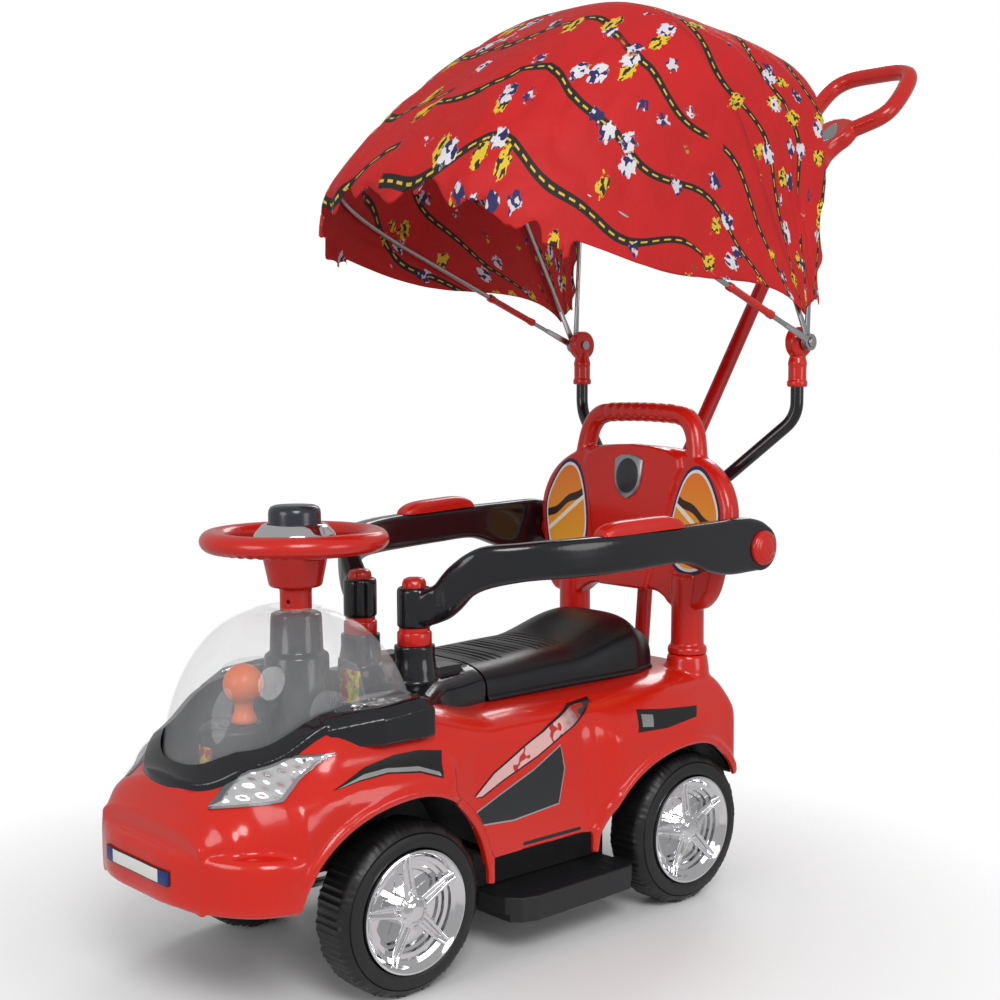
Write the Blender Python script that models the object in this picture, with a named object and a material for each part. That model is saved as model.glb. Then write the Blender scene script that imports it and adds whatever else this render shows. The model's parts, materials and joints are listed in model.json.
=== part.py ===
"""Foot-to-floor ride-on car with guard rails, push handle and folding sun hood.

Units are metres, +X points to the nose, +Y to the car's left and +Z up.
X is measured from the rear axle and Z from the floor; the parent empty then
moves the whole car so that the origin lies under the middle of its length.
"""
import math

import bmesh
import bpy
from mathutils import Matrix, Vector

# Gaps that every fit uses
GAP = 0.0003
RUNNING_GAP = 0.0006
SLIDE_GAP = 0.001

# Overall sizes and places
OVERALL_LENGTH = 1.200
OVERALL_HEIGHT = 1.062
WHEELBASE = 0.407
FRONT_X = 0.6235
HANDLE_REAR_X = FRONT_X - OVERALL_LENGTH

# Wheels and axles
TYRE_RADIUS = 0.088
TYRE_WIDTH = 0.056
TYRE_SHOULDER = 0.012
WHEEL_Y = 0.135
HUBCAP_RADIUS = 0.0625
HUBCAP_DEPTH = 0.024
WHEEL_WEB = 0.010
AXLE_RADIUS = 0.005
AXLE_TAIL = 0.010
SPOKE_COUNT = 5
WHEEL_SIDES = 22

# Body shell
BODY_REAR_X = -0.1115
BODY_HALF_WIDTH = 0.150
FENDER_FLARE = 0.013
BODY_WALL = 0.003
SILL_Z = 0.113
REAR_SKIRT_Z = 0.137
DECK_Z = 0.262
SHOULDER_Z = 0.284
FENDER_TOP_Z = 0.222
BUMPER_Z = (0.118, 0.170)
BUMPER_HALF_WIDTH = 0.160
HOOD_FRONT_X = FRONT_X - 0.0155
ARCH_TOP_Z = 0.204
FRONT_ARCH_REAR = 0.104
FRONT_ARCH_FRONT = 0.136
REAR_ARCH_FRONT = 0.140
REAR_ARCH_REAR = 0.096
REAR_ARCH_TOP_Z = 0.190
PLATE_SIZE = (0.124, 0.014)
PLATE_THICK = 0.002

# Underbody
PAN_Z = 0.118
PAN_THICK = 0.004
LINER_WALL = 0.0025
WELL_FRONT_Y = 0.073
WELL_REAR_Y = 0.098

# Steering
COLUMN_X = 0.4335
STEER_ARM = 0.045
KINGPIN_Y = 0.098
KINGPIN_RADIUS = 0.005
KNUCKLE_BOSS_RADIUS = 0.0095
TIE_ROD_Z = 0.0715
TIE_ROD_THICK = 0.004
LINK_PIN_RADIUS = 0.0035
SHAFT_RADIUS = 0.006
COLUMN_RADIUS = 0.0165
RING_Z = 0.4475
RING_RADIUS = 0.0845
RING_TUBE = 0.0125
HUB_RADII = (0.026, 0.037)
HUB_Z = (0.398, 0.441)
HORN_RADIUS = 0.027
HORN_HEIGHT = 0.016
HORN_PROUD = 0.020
TRIM_HEIGHT = 0.017
TRIM_RADIUS = 0.040
TRIM_THICK = 0.004
SPRING_TURNS = 3
SPRING_WIRE = 0.0009

# Dash, dome and toy
TOWER_RADII = (0.034, 0.0265)
TOWER_TOP_Z = 0.372
TOWER_STEP_Z = 0.328
NOSE_X = FRONT_X - 0.0295
BEZEL_HALF_WIDTH = 0.126
BEZEL_BAND = 0.017
BEZEL_HEIGHT = 0.007
BEZEL_REAR_X = 0.328
FLOOR_Z = 0.210
FLOOR_THICK = 0.003
DOME_TOP_Z = 0.381
DOME_WALL = 0.002
TURNTABLE_X = COLUMN_X + 0.0775
TURNTABLE_RADIUS = 0.034
TURNTABLE_HEIGHT = 0.054
PEG_RADIUS = 0.0205
PEG_HEIGHT = 0.060
SEAM_X = 0.2435
SEAM_GAP = 0.002
POD_X = (0.372, 0.480)
SOUND_X = (COLUMN_X - 0.0885, COLUMN_X - 0.0315)
SOUND_HALF_WIDTH = 0.034
SOUND_HEIGHT = 0.036

# Seat, storage and backrest
SEAT_HALF_WIDTH = 0.083
SEAT_REAR_X = -0.034
SEAT_FRONT_Z = 0.302
SEAT_PEAK_Z = 0.330
SEAT_WALL = 0.0035
HINGE_RADIUS = 0.004
HINGE_PIN_RADIUS = 0.002
LUG_Y = 0.046
LUG_WIDTH = 0.011
BIN_X = (0.010, 0.215)
BIN_HALF_WIDTH = 0.062
BIN_FLOOR_Z = 0.150
BIN_WALL = 0.002
BACK_POST = (-0.0625, 0.098)
BACK_POST_RADIUS = 0.0195
BACK_COLLAR_Z = 0.288
BACK_FRONT_X = -0.050
BACK_THICK = 0.026
BACK_LEAN = 0.10
BACK_BOTTOM_Z = 0.345
BACK_TOP_Z = 0.529
BACK_HALF_WIDTH = 0.163
HANDLE_TOP_Z = 0.580
HANDLE_TUBE = 0.0125
HANDLE_HALF_WIDTH = 0.086

# Guard rails
RAIL_PIVOT = (-0.0875, 0.414)
RAIL_Y = 0.181
RAIL_WIDTH = 0.024
RAIL_HEIGHT = 0.043
RAIL_BOSS_RADIUS = 0.027
RAIL_PIN_RADIUS = 0.008
RAIL_CAP_RADIUS = 0.0205
RAIL_CAP_TRAVEL = 0.003
POST = (0.3165, 0.0485)
SLEEVE_RADIUS = 0.0185
BOSS_TOP_Z = 0.330
SLEEVE_TOP_Z = 0.349
SPIGOT_RADIUS = 0.009
SPIGOT_HEIGHT = 0.006
SOCKET_TOP_Z = 0.392
RELEASE_RADIUS = 0.013
RELEASE_TRAVEL = 0.004
RELEASE_PROUD = 0.010
PAD_LENGTH = 0.118
PAD_HEIGHT = 0.014

# Footrests
FOOTREST_X = (0.093, 0.279)
FOOTREST_Y = (0.083, 0.166)
FOOTREST_Z = (0.040, 0.068)
FOOTREST_WALL = 0.0035
FOOTREST_STEP = 0.0008
KEEL_OVERLAP = 0.022
FOOTREST_TRAVEL = 0.060
GUIDE_WALL = 0.004

# Push pole and handle
POLE_RADIUS = 0.0095
POLE_HOLE_X = -0.0840
POLE_SOCKET_Z = (0.145, 0.190)
POLE_BEND_Z = 0.400
POLE_LEAN = 0.087
POLE_TOP = (HANDLE_REAR_X + 0.1465, OVERALL_HEIGHT - 0.157)
GRIP_TUBE = 0.0115
GRIP_HALF_WIDTH = 0.080
GRIP_LEAN = 45.0
GRIP_NECK_LENGTH = 0.062

# Sun hood
HOOD_PIVOT = (-0.1585, OVERALL_HEIGHT - 0.408)
TUBE_Y = 0.184
TUBE_RADIUS = 0.0078
TUBE_SOCKET = (0.085, 0.474)
TUBE_LOW_Z = HOOD_PIVOT[1] - 0.089
CLAMP_RADIUS = 0.0115
CLAMP_DISC_RADIUS = 0.0190
CLAMP_DISC_THICK = 0.009
BOW_RADIUS = 0.0030
BOW_SHAPE = 0.65
HUB_THICK = 0.0025
HUB_RADIUS = 0.010
ARM_REACH = 0.052
HOLDER_RADIUS = 0.005
HOLDER_START = 0.078
HOLDER_LENGTH = 0.085
FRONT_BOW = (22.0, 0.497)
MID_BOW = (61.0, 0.430)
REAR_BOW = (93.0, 0.345)
CLOTH_THICK = 0.0016
CLOTH_GAP = 0.0036
BOLT_RADIUS = 0.003
HOOD_ROWS = 6
HOOD_SAG = 0.012
HOOD_HEM = 2.0
HOOD_GATHERS = 5
HOOD_SIDE_LOW = 0.036

SIDES = (("left", 1), ("right", -1))
FRONT_AXLE = WHEELBASE
CENTRE_SHIFT = -(FRONT_X + HANDLE_REAR_X) / 2


def clear_scene():
    """Remove what the opened file holds."""
    for item in list(bpy.data.objects):
        bpy.data.objects.remove(item, do_unlink=True)


def make_material(name, colour, roughness, metallic=0.0, alpha=1.0):
    """A plain moulded or metal finish."""
    material = bpy.data.materials.new(name)
    material.use_nodes = True
    shader = material.node_tree.nodes["Principled BSDF"]
    shader.inputs["Base Color"].default_value = (*colour, 1.0)
    shader.inputs["Roughness"].default_value = roughness
    shader.inputs["Metallic"].default_value = metallic
    shader.inputs["Alpha"].default_value = alpha
    return material


def smooth(low, high, value):
    """Blend from 0 at low to 1 at high with soft ends."""
    t = min(max((value - low) / (high - low), 0.0), 1.0)
    return t * t * (3 - 2 * t)


def interpolate(pairs, x):
    """Value at x on a smooth curve through (x, value) pairs in rising x."""
    if x <= pairs[0][0]:
        return pairs[0][1]
    for (x0, v0), (x1, v1) in zip(pairs, pairs[1:]):
        if x <= x1:
            return v0 + (v1 - v0) * smooth(x0, x1, x)
    return pairs[-1][1]


def spread(low, high, count):
    """Evenly spaced values with both ends."""
    return [low + (high - low) * i / (count - 1) for i in range(count)]


def arc(centre, radius, start, end, count):
    """Points on an arc in a plane, angles in degrees."""
    return [(centre[0] + radius * math.cos(math.radians(a)), centre[1] + radius * math.sin(math.radians(a)))
            for a in spread(start, end, count)]


def rounded_box(low, high, radius, steps=4):
    """Outline of a rectangle with round corners."""
    (x0, y0), (x1, y1) = low, high
    corners = ((x1 - radius, y1 - radius, 0), (x0 + radius, y1 - radius, 90),
               (x0 + radius, y0 + radius, 180), (x1 - radius, y0 + radius, 270))
    points = []
    for cx, cy, start in corners:
        points += arc((cx, cy), radius, start, start + 90, steps)
    return points


def mesh_of(vertices, faces, name):
    """Closed mesh with its faces pointing out."""
    bm = bmesh.new()
    made = [bm.verts.new(v) for v in vertices]
    for face in faces:
        bm.faces.new([made[i] for i in face])
    bmesh.ops.recalc_face_normals(bm, faces=bm.faces)
    mesh = bpy.data.meshes.new(name)
    bm.to_mesh(mesh)
    bm.free()
    return mesh


def loft(rings, name, closed=False, split=False):
    """Skin rings of equal count, capped or closed into a loop; split halves each quad the same way."""
    count = len(rings[0])
    vertices = [p for ring in rings for p in ring]
    faces = []
    last = len(rings) if closed else len(rings) - 1
    for i in range(last):
        here, there = i * count, (i + 1) % len(rings) * count
        for j in range(count):
            k = (j + 1) % count
            quad = (here + j, here + k, there + k, there + j)
            faces += [(quad[0], quad[1], quad[2]), (quad[0], quad[2], quad[3])] if split else [quad]
    if not closed:
        faces.append(tuple(range(count)))
        faces.append(tuple(range((len(rings) - 1) * count, len(rings) * count)))
    return mesh_of(vertices, faces, name)


def prism(outline, low, high, name, axis="z"):
    """Extrude a flat outline between two heights along an axis."""
    place = {"z": lambda u, v, w: (u, v, w), "y": lambda u, v, w: (u, w, v),
             "x": lambda u, v, w: (w, u, v)}[axis]
    return loft([[place(u, v, w) for u, v in outline] for w in (low, high)], name)


def box(low, high, name):
    """Plain block between two corners."""
    outline = ((low[0], low[1]), (high[0], low[1]), (high[0], high[1]), (low[0], high[1]))
    return prism(outline, low[2], high[2], name)


def turned(profile, name, centre=(0, 0, 0), axis="z", segments=32, closed=False):
    """Turn (radius, along) points about an axis; open profiles start and end on it."""
    place = {"z": lambda r, a, t: (r * math.cos(t), r * math.sin(t), a),
             "y": lambda r, a, t: (r * math.sin(t), a, r * math.cos(t)),
             "x": lambda r, a, t: (a, r * math.cos(t), r * math.sin(t))}[axis]
    vertices, rows = [], []
    for radius, along in profile:
        if radius < 1e-6:
            rows.append([len(vertices)] * segments)
            vertices.append(Vector(place(0, along, 0)) + Vector(centre))
            continue
        rows.append(list(range(len(vertices), len(vertices) + segments)))
        for i in range(segments):
            vertices.append(Vector(place(radius, along, 2 * math.pi * i / segments)) + Vector(centre))
    faces = []
    pairs = list(zip(rows, rows[1:])) + ([(rows[-1], rows[0])] if closed else [])
    for here, there in pairs:
        for i in range(segments):
            j = (i + 1) % segments
            corners = dict.fromkeys((here[i], here[j], there[j], there[i]))
            faces.append(tuple(corners))
    return mesh_of(vertices, faces, name)


def rod(start, end, radius, name, sides=16, end_radius=None):
    """Round bar between two points."""
    return tube([start, end], radius, name, sides, radii=[radius, end_radius or radius])


def bore(start, end, radius, name, sides=16):
    """Round cutter whose flats, not its corners, lie at the radius."""
    return rod(start, end, radius / math.cos(math.pi / sides), name, sides)


def tube(points, radius, name, sides=10, radii=None, closed=False, flat=1.0):
    """Sweep a round or flattened section along points."""
    points = [Vector(p) for p in points]
    rings, normal = [], None
    for i, point in enumerate(points):
        if closed:
            heading = points[(i + 1) % len(points)] - points[i - 1]
        else:
            heading = points[min(i + 1, len(points) - 1)] - points[max(i - 1, 0)]
        heading.normalize()
        if normal is None:
            normal = heading.cross(Vector((0, 0, 1)))
            if normal.length < 0.1:
                normal = heading.cross(Vector((0, 1, 0)))
        normal = (normal - heading * normal.dot(heading)).normalized()
        across = heading.cross(normal)
        size = radii[i] if radii else radius
        rings.append([point + normal * size * math.cos(t) + across * size * flat * math.sin(t)
                      for t in (2 * math.pi * (k + 0.5) / sides for k in range(sides))])
    return loft(rings, name, closed)


def curve_through(points, steps):
    """Smooth path through chosen points."""
    points = [Vector(p) for p in points]
    ends = [2 * points[0] - points[1]] + points + [2 * points[-1] - points[-2]]
    path = []
    for a, b, c, d in zip(ends, ends[1:], ends[2:], ends[3:]):
        for i in range(steps):
            t = i / steps
            path.append(0.5 * (2 * b + (c - a) * t + (2 * a - 5 * b + 4 * c - d) * t * t
                               + (3 * b - a - 3 * c + d) * t ** 3))
    return path + [points[-1]]


def bend_path(points, radius, steps=5):
    """Straight runs joined by round bends of one radius."""
    points = [Vector(p) for p in points]
    path = [points[0]]
    for before, corner, after in zip(points, points[1:], points[2:]):
        back, ahead = (before - corner).normalized(), (after - corner).normalized()
        half = back.angle(ahead) / 2
        reach = min(radius / math.tan(half), (before - corner).length * 0.49, (after - corner).length * 0.49)
        start, end = corner + back * reach, corner + ahead * reach
        for t in spread(0, 1, steps):
            path.append(start * (1 - t) ** 2 + corner * 2 * t * (1 - t) + end * t * t)
    return path + [points[-1]]


def add_object(name, mesh, origin=(0, 0, 0)):
    """Object under the car's empty, with its mesh moved to its own origin."""
    mesh.transform(Matrix.Translation(-Vector(origin)))
    mesh.shade_smooth()
    mesh.set_sharp_from_angle(angle=math.radians(35))
    item = bpy.data.objects.new(name, mesh)
    bpy.context.scene.collection.objects.link(item)
    item.location = origin
    item.parent = CAR
    return item


def part(name, mesh, material, origin=(0, 0, 0)):
    """One finished piece of the car."""
    mesh.materials.append(material)
    return add_object(name, mesh, origin)


def tool(mesh):
    """Hidden body that a Boolean uses."""
    item = add_object("tool_" + mesh.name, mesh)
    item.hide_render = True
    item.display_type = "WIRE"
    return item


def combine(item, operation, *meshes):
    """Join, cut or keep with Boolean modifiers."""
    for mesh in meshes:
        modifier = item.modifiers.new(operation.lower(), "BOOLEAN")
        modifier.operation = operation
        modifier.solver = "EXACT"
        modifier.object = mesh if isinstance(mesh, bpy.types.Object) else tool(mesh)
    return item


def join(item, *meshes):
    return combine(item, "UNION", *meshes)


def cut(item, *meshes):
    return combine(item, "DIFFERENCE", *meshes)


def keep(item, *meshes):
    return combine(item, "INTERSECT", *meshes)


def hull_half_width(x):
    """Half-width of the body above the fenders."""
    rear = BODY_REAR_X
    return interpolate(((rear, BODY_HALF_WIDTH - 0.052), (rear + 0.008, BODY_HALF_WIDTH - 0.026),
                        (rear + 0.028, BODY_HALF_WIDTH - 0.006), (0.0, BODY_HALF_WIDTH + 0.002),
                        (WHEELBASE / 2, BODY_HALF_WIDTH), (FRONT_AXLE, BODY_HALF_WIDTH + 0.003),
                        (HOOD_FRONT_X - 0.078, BODY_HALF_WIDTH - 0.004),
                        (HOOD_FRONT_X - 0.028, BODY_HALF_WIDTH - 0.030),
                        (HOOD_FRONT_X, BODY_HALF_WIDTH - 0.054)), x)


def hull_top(x):
    """Height of the body's top at the centre line."""
    rear = BODY_REAR_X
    return interpolate(((rear, DECK_Z - 0.030), (rear + 0.012, DECK_Z - 0.008),
                        (rear + 0.04, DECK_Z + 0.004),
                        (0.0, DECK_Z + 0.003), (0.10, DECK_Z), (SEAM_X + 0.0265, DECK_Z + 0.002),
                        (FRONT_AXLE - 0.047, SHOULDER_Z), (FRONT_AXLE + 0.063, SHOULDER_Z),
                        (HOOD_FRONT_X - 0.063, SHOULDER_Z - 0.022),
                        (HOOD_FRONT_X - 0.018, SHOULDER_Z - 0.060),
                        (HOOD_FRONT_X, SHOULDER_Z - 0.092)), x)


def hull_roundness(x):
    """Exponent of the body's cross-section: square at the doors, round at the nose."""
    return 0.435 + 0.56 * smooth(HOOD_FRONT_X - 0.135, HOOD_FRONT_X - 0.050, x)


def fender(x):
    """How far the fenders stand out, from 0 to 1."""
    front = (smooth(FRONT_AXLE - 0.064, FRONT_AXLE - 0.049, x)
             * (1 - smooth(FRONT_AXLE + 0.123, FRONT_AXLE + 0.158, x)))
    rear = (smooth(BODY_REAR_X, BODY_REAR_X + 0.035, x)
            * (1 - smooth(REAR_ARCH_FRONT - 0.022, REAR_ARCH_FRONT + 0.002, x)))
    return front + rear


def hull_section(x, inset=0.0, floor=SILL_Z, points=6):
    """Cross-section of the body: up the left side, over the top and down the right."""
    width = hull_half_width(x) - inset
    top = hull_top(x) - inset
    base = 0.175
    half = [(width, floor), (width, (floor + base) / 2)]
    power = hull_roundness(x)
    for i in range(points + 1):
        angle = math.pi / 2 * i / points
        half.append((width * math.cos(angle) ** power if i < points else 0.0,
                     base + (top - base) * math.sin(angle) ** power))
    flared = []
    for y, z in half:
        y += FENDER_FLARE * fender(x) * (1 - smooth(FENDER_TOP_Z - 0.010, FENDER_TOP_Z + 0.022,
                                                    z)) * (y > 0.05)
        flared.append((y, z))
    return flared + [(-y, z) for y, z in reversed(flared[:-1])]


def hull_stations():
    rear = BODY_REAR_X
    stations = [rear, rear + 0.006, rear + 0.030, -0.03, REAR_ARCH_FRONT - 0.022, REAR_ARCH_FRONT + 0.002,
                SEAM_X + 0.0265]
    stations += [FRONT_AXLE + reach for reach in (-0.064, -0.049, -0.007, 0.063, 0.123, 0.158)]
    return stations + [HOOD_FRONT_X - 0.018, HOOD_FRONT_X]


def hull_mesh(name, inset=0.0, floor=SILL_Z):
    """Closed body hull, drawn in or out by the inset."""
    rings = []
    stations = hull_stations()
    for i, x in enumerate(stations):
        place = x + (inset if i == 0 else -inset if i == len(stations) - 1 else 0)
        rings.append([(place, y, z) for y, z in hull_section(x, inset, floor)])
    return loft(rings, name, split=True)


def bumper_outline(inset=0.0):
    """Plan of the front bumper."""
    side = BUMPER_HALF_WIDTH - inset
    nose = FRONT_X - PLATE_THICK - GAP - inset
    half = [(FRONT_X - 0.1035, side), (FRONT_X - 0.0785, side - 0.001), (FRONT_X - 0.0515, side - 0.012),
            (FRONT_X - 0.0315, side - 0.034), (FRONT_X - 0.0165, side - 0.064),
            (nose - 0.003, side - 0.096), (nose, side - 0.122), (nose, 0.012)]
    return half + [(x, -y) for x, y in reversed(half)]


def bezel_outline(inset=0.0):
    """Plan of the dome's bezel: a blunt nose that widens backwards."""
    centre = NOSE_X - 0.179
    reach = NOSE_X - inset - centre
    side = BEZEL_HALF_WIDTH - inset
    half = [(BEZEL_REAR_X + inset, side * 0.66)]
    half += [(BEZEL_REAR_X + 0.024, side * 0.86), (BEZEL_REAR_X + 0.054, side * 0.97)]
    for angle in spread(90, 0, 7):
        c, s = math.cos(math.radians(angle)), math.sin(math.radians(angle))
        half.append((centre + reach * abs(c) ** 0.86, side * abs(s) ** 0.86))
    return half + [(x, -y) for x, y in reversed(half) if y > 1e-6]


def arch_outline(centre_x, rear, front, top, grow=0.0, floor=0.0):
    """Side view of a wheel arch: two quarter ovals on one axle, open below."""
    points = []
    for angle in spread(180, 0, 15):
        reach = (rear if angle > 90 else front) + grow
        height = TYRE_RADIUS + (top - TYRE_RADIUS + grow) * math.sin(math.radians(angle))
        if height > floor:
            points.append((centre_x + reach * math.cos(math.radians(angle)), height))
    return [(points[0][0], floor)] + points + [(points[-1][0], floor)]


def arches(grow=0.0, floor=0.0):
    """Outline and inner wall of each axle's wheel arch."""
    front = arch_outline(FRONT_AXLE, FRONT_ARCH_REAR, FRONT_ARCH_FRONT, ARCH_TOP_Z, grow, floor)
    rear = arch_outline(0.0, REAR_ARCH_REAR, REAR_ARCH_FRONT, REAR_ARCH_TOP_Z, grow, floor)
    return (("front", front, WELL_FRONT_Y), ("rear", rear, WELL_REAR_Y))


def pole_axis(z):
    """Place on the straight lower run of the push pole at one height."""
    return Vector((POLE_HOLE_X - (z - DECK_Z) * POLE_LEAN, 0, z))


def pole_points():
    """Centre line of the push pole from its socket to the grip's neck."""
    top = (POLE_TOP[0], 0, POLE_TOP[1])
    return bend_path([pole_axis(POLE_SOCKET_Z[0] + GAP), pole_axis(POLE_BEND_Z), top], 0.080, 7)


def seat_opening(grow=0.0):
    """Plan of the hole in the deck that takes the storage bin."""
    return rounded_box((BIN_X[0] - grow, -BIN_HALF_WIDTH - grow),
                       (BIN_X[1] + grow, BIN_HALF_WIDTH + grow), 0.012 + grow)


def body_shell(red):
    """Red moulded body: hull and bumper, open below, with arches and openings."""
    shell = part("body_shell", hull_mesh("body_shell"), red)
    join(shell, prism(bumper_outline(), *BUMPER_Z, "bumper"))
    for side in (1, -1):
        collar = rod((BACK_POST[0], side * BACK_POST[1], DECK_Z - 0.03),
                     (BACK_POST[0], side * BACK_POST[1], BACK_COLLAR_Z - 0.008),
                     BACK_POST_RADIUS + 0.005, "post_collar", 14)
        join(shell, collar)
    wall = BODY_WALL
    hollow = hull_mesh("hollow", wall, SILL_Z - 0.05)
    nose = prism(bumper_outline(wall), BUMPER_Z[0] - 0.02, BUMPER_Z[1] - wall, "bumper_hollow")
    cut(shell, hollow, nose)
    for place, outline, _ in arches(floor=-0.01):
        for side in (1, -1):
            low, high = sorted((side * 0.09, side * 0.20))
            cut(shell, prism(outline, low, high, "arch_" + place, "y"))
    cut(shell, box((BODY_REAR_X - 0.05, -0.2, 0.0), (-0.02, 0.2, REAR_SKIRT_Z), "rear_skirt"))
    cut(shell, prism(bezel_outline(BEZEL_BAND / 2), FLOOR_Z - 0.02, 0.40, "dash_opening"))
    cut(shell, prism(seat_opening(GAP), DECK_Z - 0.02, 0.30, "seat_hole"))
    cut(shell, rod(pole_axis(DECK_Z - 0.03), pole_axis(DECK_Z + 0.03), POLE_RADIUS + GAP, "pole_hole", 12))
    return shell


def keepout(grow=GAP):
    """The space that the body takes, for pieces that sit on it."""
    return hull_mesh("keepout", -grow, SILL_Z - 0.05)


def underbody_pan(black):
    """Black floor pan with the four wheel-well liners and the axle and steering bosses."""
    rear, step, front = BODY_REAR_X + 0.008, -0.022, 0.562
    tail_z = REAR_SKIRT_Z + 0.001
    lip = BODY_HALF_WIDTH - BODY_WALL - 0.001
    pan = part("underbody_pan", box((step, -0.2, PAN_Z), (front, 0.2, PAN_Z + PAN_THICK), "underbody_pan"),
               black)
    join(pan, box((rear - 0.02, -0.2, tail_z), (step + PAN_THICK, 0.2, tail_z + PAN_THICK), "tail_plate"))
    join(pan, box((step, -0.2, PAN_Z), (step + PAN_THICK, 0.2, tail_z + PAN_THICK), "riser"))
    for place, outline, well in arches(LINER_WALL + 0.001, PAN_Z):
        for side in (1, -1):
            low, high = sorted((side * (well - LINER_WALL), side * lip))
            join(pan, prism(outline, low, high, "liner_" + place, "y"))
    keep(pan, hull_mesh("pan_limit", BODY_WALL + GAP, SILL_Z - 0.02))
    for place, outline, well in arches(0.001, -0.01):
        for side in (1, -1):
            low, high = sorted((side * well, side * 0.2))
            cut(pan, prism(outline, low, high, "well_" + place, "y"))
    cut(pan, box((rear - 0.1, -0.2, 0.0), (step, 0.2, tail_z), "tail_space"))
    low, high = POLE_SOCKET_Z
    join(pan, rod(pole_axis(tail_z + 0.001), pole_axis(high), POLE_RADIUS + GAP + 0.004, "pole_socket", 12))
    cut(pan, rod(pole_axis(low), pole_axis(high + 0.02), POLE_RADIUS + GAP, "pole_bore", 12))
    for side in (1, -1):
        pan_bosses(pan, side)
    cut(pan, rod((0, -0.12, TYRE_RADIUS), (0, 0.12, TYRE_RADIUS), AXLE_RADIUS + GAP, "axle_bore", 12))
    join(pan, rod((COLUMN_X, 0, 0.096), (COLUMN_X, 0, 0.150), SHAFT_RADIUS + 0.005, "shaft_boss", 14))
    cut(pan, rod((COLUMN_X, 0, 0.05), (COLUMN_X, 0, 0.2), SHAFT_RADIUS + GAP, "shaft_bore", 12))
    runners(pan)
    return pan


def pan_bosses(pan, side):
    """King-pin boss and rear axle bracket of one side."""
    inner, outer = sorted((side * 0.06, side * KINGPIN_Y))
    reach = KNUCKLE_BOSS_RADIUS
    join(pan, box((FRONT_AXLE - reach, inner, PAN_Z), (FRONT_AXLE + reach, outer, PAN_Z + PAN_THICK),
                  "pin_tab"))
    pin = (FRONT_AXLE, side * KINGPIN_Y)
    join(pan, rod((*pin, TYRE_RADIUS + 0.0123), (*pin, 0.136), reach, "kingpin_boss", 14))
    cut(pan, rod((*pin, 0.05), (*pin, 0.2), KINGPIN_RADIUS + GAP, "kingpin_bore", 12))
    low, high = sorted((side * 0.060, side * (WELL_REAR_Y + LINER_WALL)))
    join(pan, box((-0.012, low, TYRE_RADIUS - 0.012), (0.012, high, PAN_Z + 0.002), "axle_bracket"))


def runners(pan):
    """Keel under the pan with the hooked guides that carry both footrests."""
    x0, x1 = FOOTREST_X
    top = FOOTREST_Z[1] + GAP
    inner = FOOTREST_Y[0] - FOOTREST_TRAVEL - 0.004
    outer = FOOTREST_Y[0] + KEEL_OVERLAP
    join(pan, box((x0 - GAP, -outer, top), (x1 + GAP, outer, PAN_Z + 0.002), "keel"))
    wall = GUIDE_WALL
    cut(pan, box((x0 + wall, wall - outer, top + wall), (x1 - wall, outer - wall, PAN_Z + 0.02),
                 "keel_hollow"))
    for end, inward in ((x0 - GAP, 1), (x1 + GAP, -1)):
        for side in (1, -1):
            low, high = sorted((side * inner, side * outer))
            wall = sorted((end, end - inward * GUIDE_WALL))
            join(pan, box((wall[0], low, FOOTREST_Z[0] + 0.004), (wall[1], high, PAN_Z + 0.002), "guide"))
            hook = sorted((end - inward * GUIDE_WALL, end + inward * 0.006))
            join(pan, box((hook[0], low, FOOTREST_Z[0] + 0.004),
                          (hook[1], high, FOOTREST_Z[0] + 0.008), "guide_hook"))


def footrest(side_name, side, black):
    """Pull-out side step: a ribbed tray, open below, that slides under the keel."""
    x0, x1 = FOOTREST_X
    y0, y1 = FOOTREST_Y
    z0, z1 = FOOTREST_Z
    outline = ((x0, y0), (x1 - 0.010, y0), (x1, y0 + 0.006), (x1, y1 - 0.030), (x1 - 0.012, y1 - 0.008),
               (x1 - 0.034, y1), (x0 + 0.008, y1 - 0.004), (x0, y1 - 0.012))
    outline = [(x, side * y) for x, y in outline]
    tray = part("footrest_" + side_name, prism(outline, z0, z1, "footrest_" + side_name), black)
    bevel = tray.modifiers.new("edges", "BEVEL")
    bevel.width = 0.0015
    bevel.segments = 1
    wall = FOOTREST_WALL
    low, high = sorted((side * (y0 + wall), side * (y1 - 0.012 - wall)))
    for lo, hi in ((x0 + 0.014, (x0 + x1) / 2 - wall / 2), ((x0 + x1) / 2 + wall / 2, x1 - 0.036)):
        cut(tray, box((lo, low, z0 - 0.01), (hi, high, z1 - wall), "tray_hollow"))
    low, high = sorted((side * (y0 - 0.01), side * (y1 + 0.01)))
    for end, outward in ((x0, -1), (x1, 1)):
        groove = sorted((end + outward * 0.01, end - outward * 0.0075))
        cut(tray, box((groove[0], low, z0 - 0.01), (groove[1], high, z0 + 0.0085), "hook_groove"))
    low, high = sorted((side * (y0 - 0.01), side * (y0 + KEEL_OVERLAP + SLIDE_GAP)))
    cut(tray, box((x0 - 0.01, low, z1 - FOOTREST_STEP), (x1 + 0.01, high, z1 + 0.01), "keel_step"))
    return tray


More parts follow.
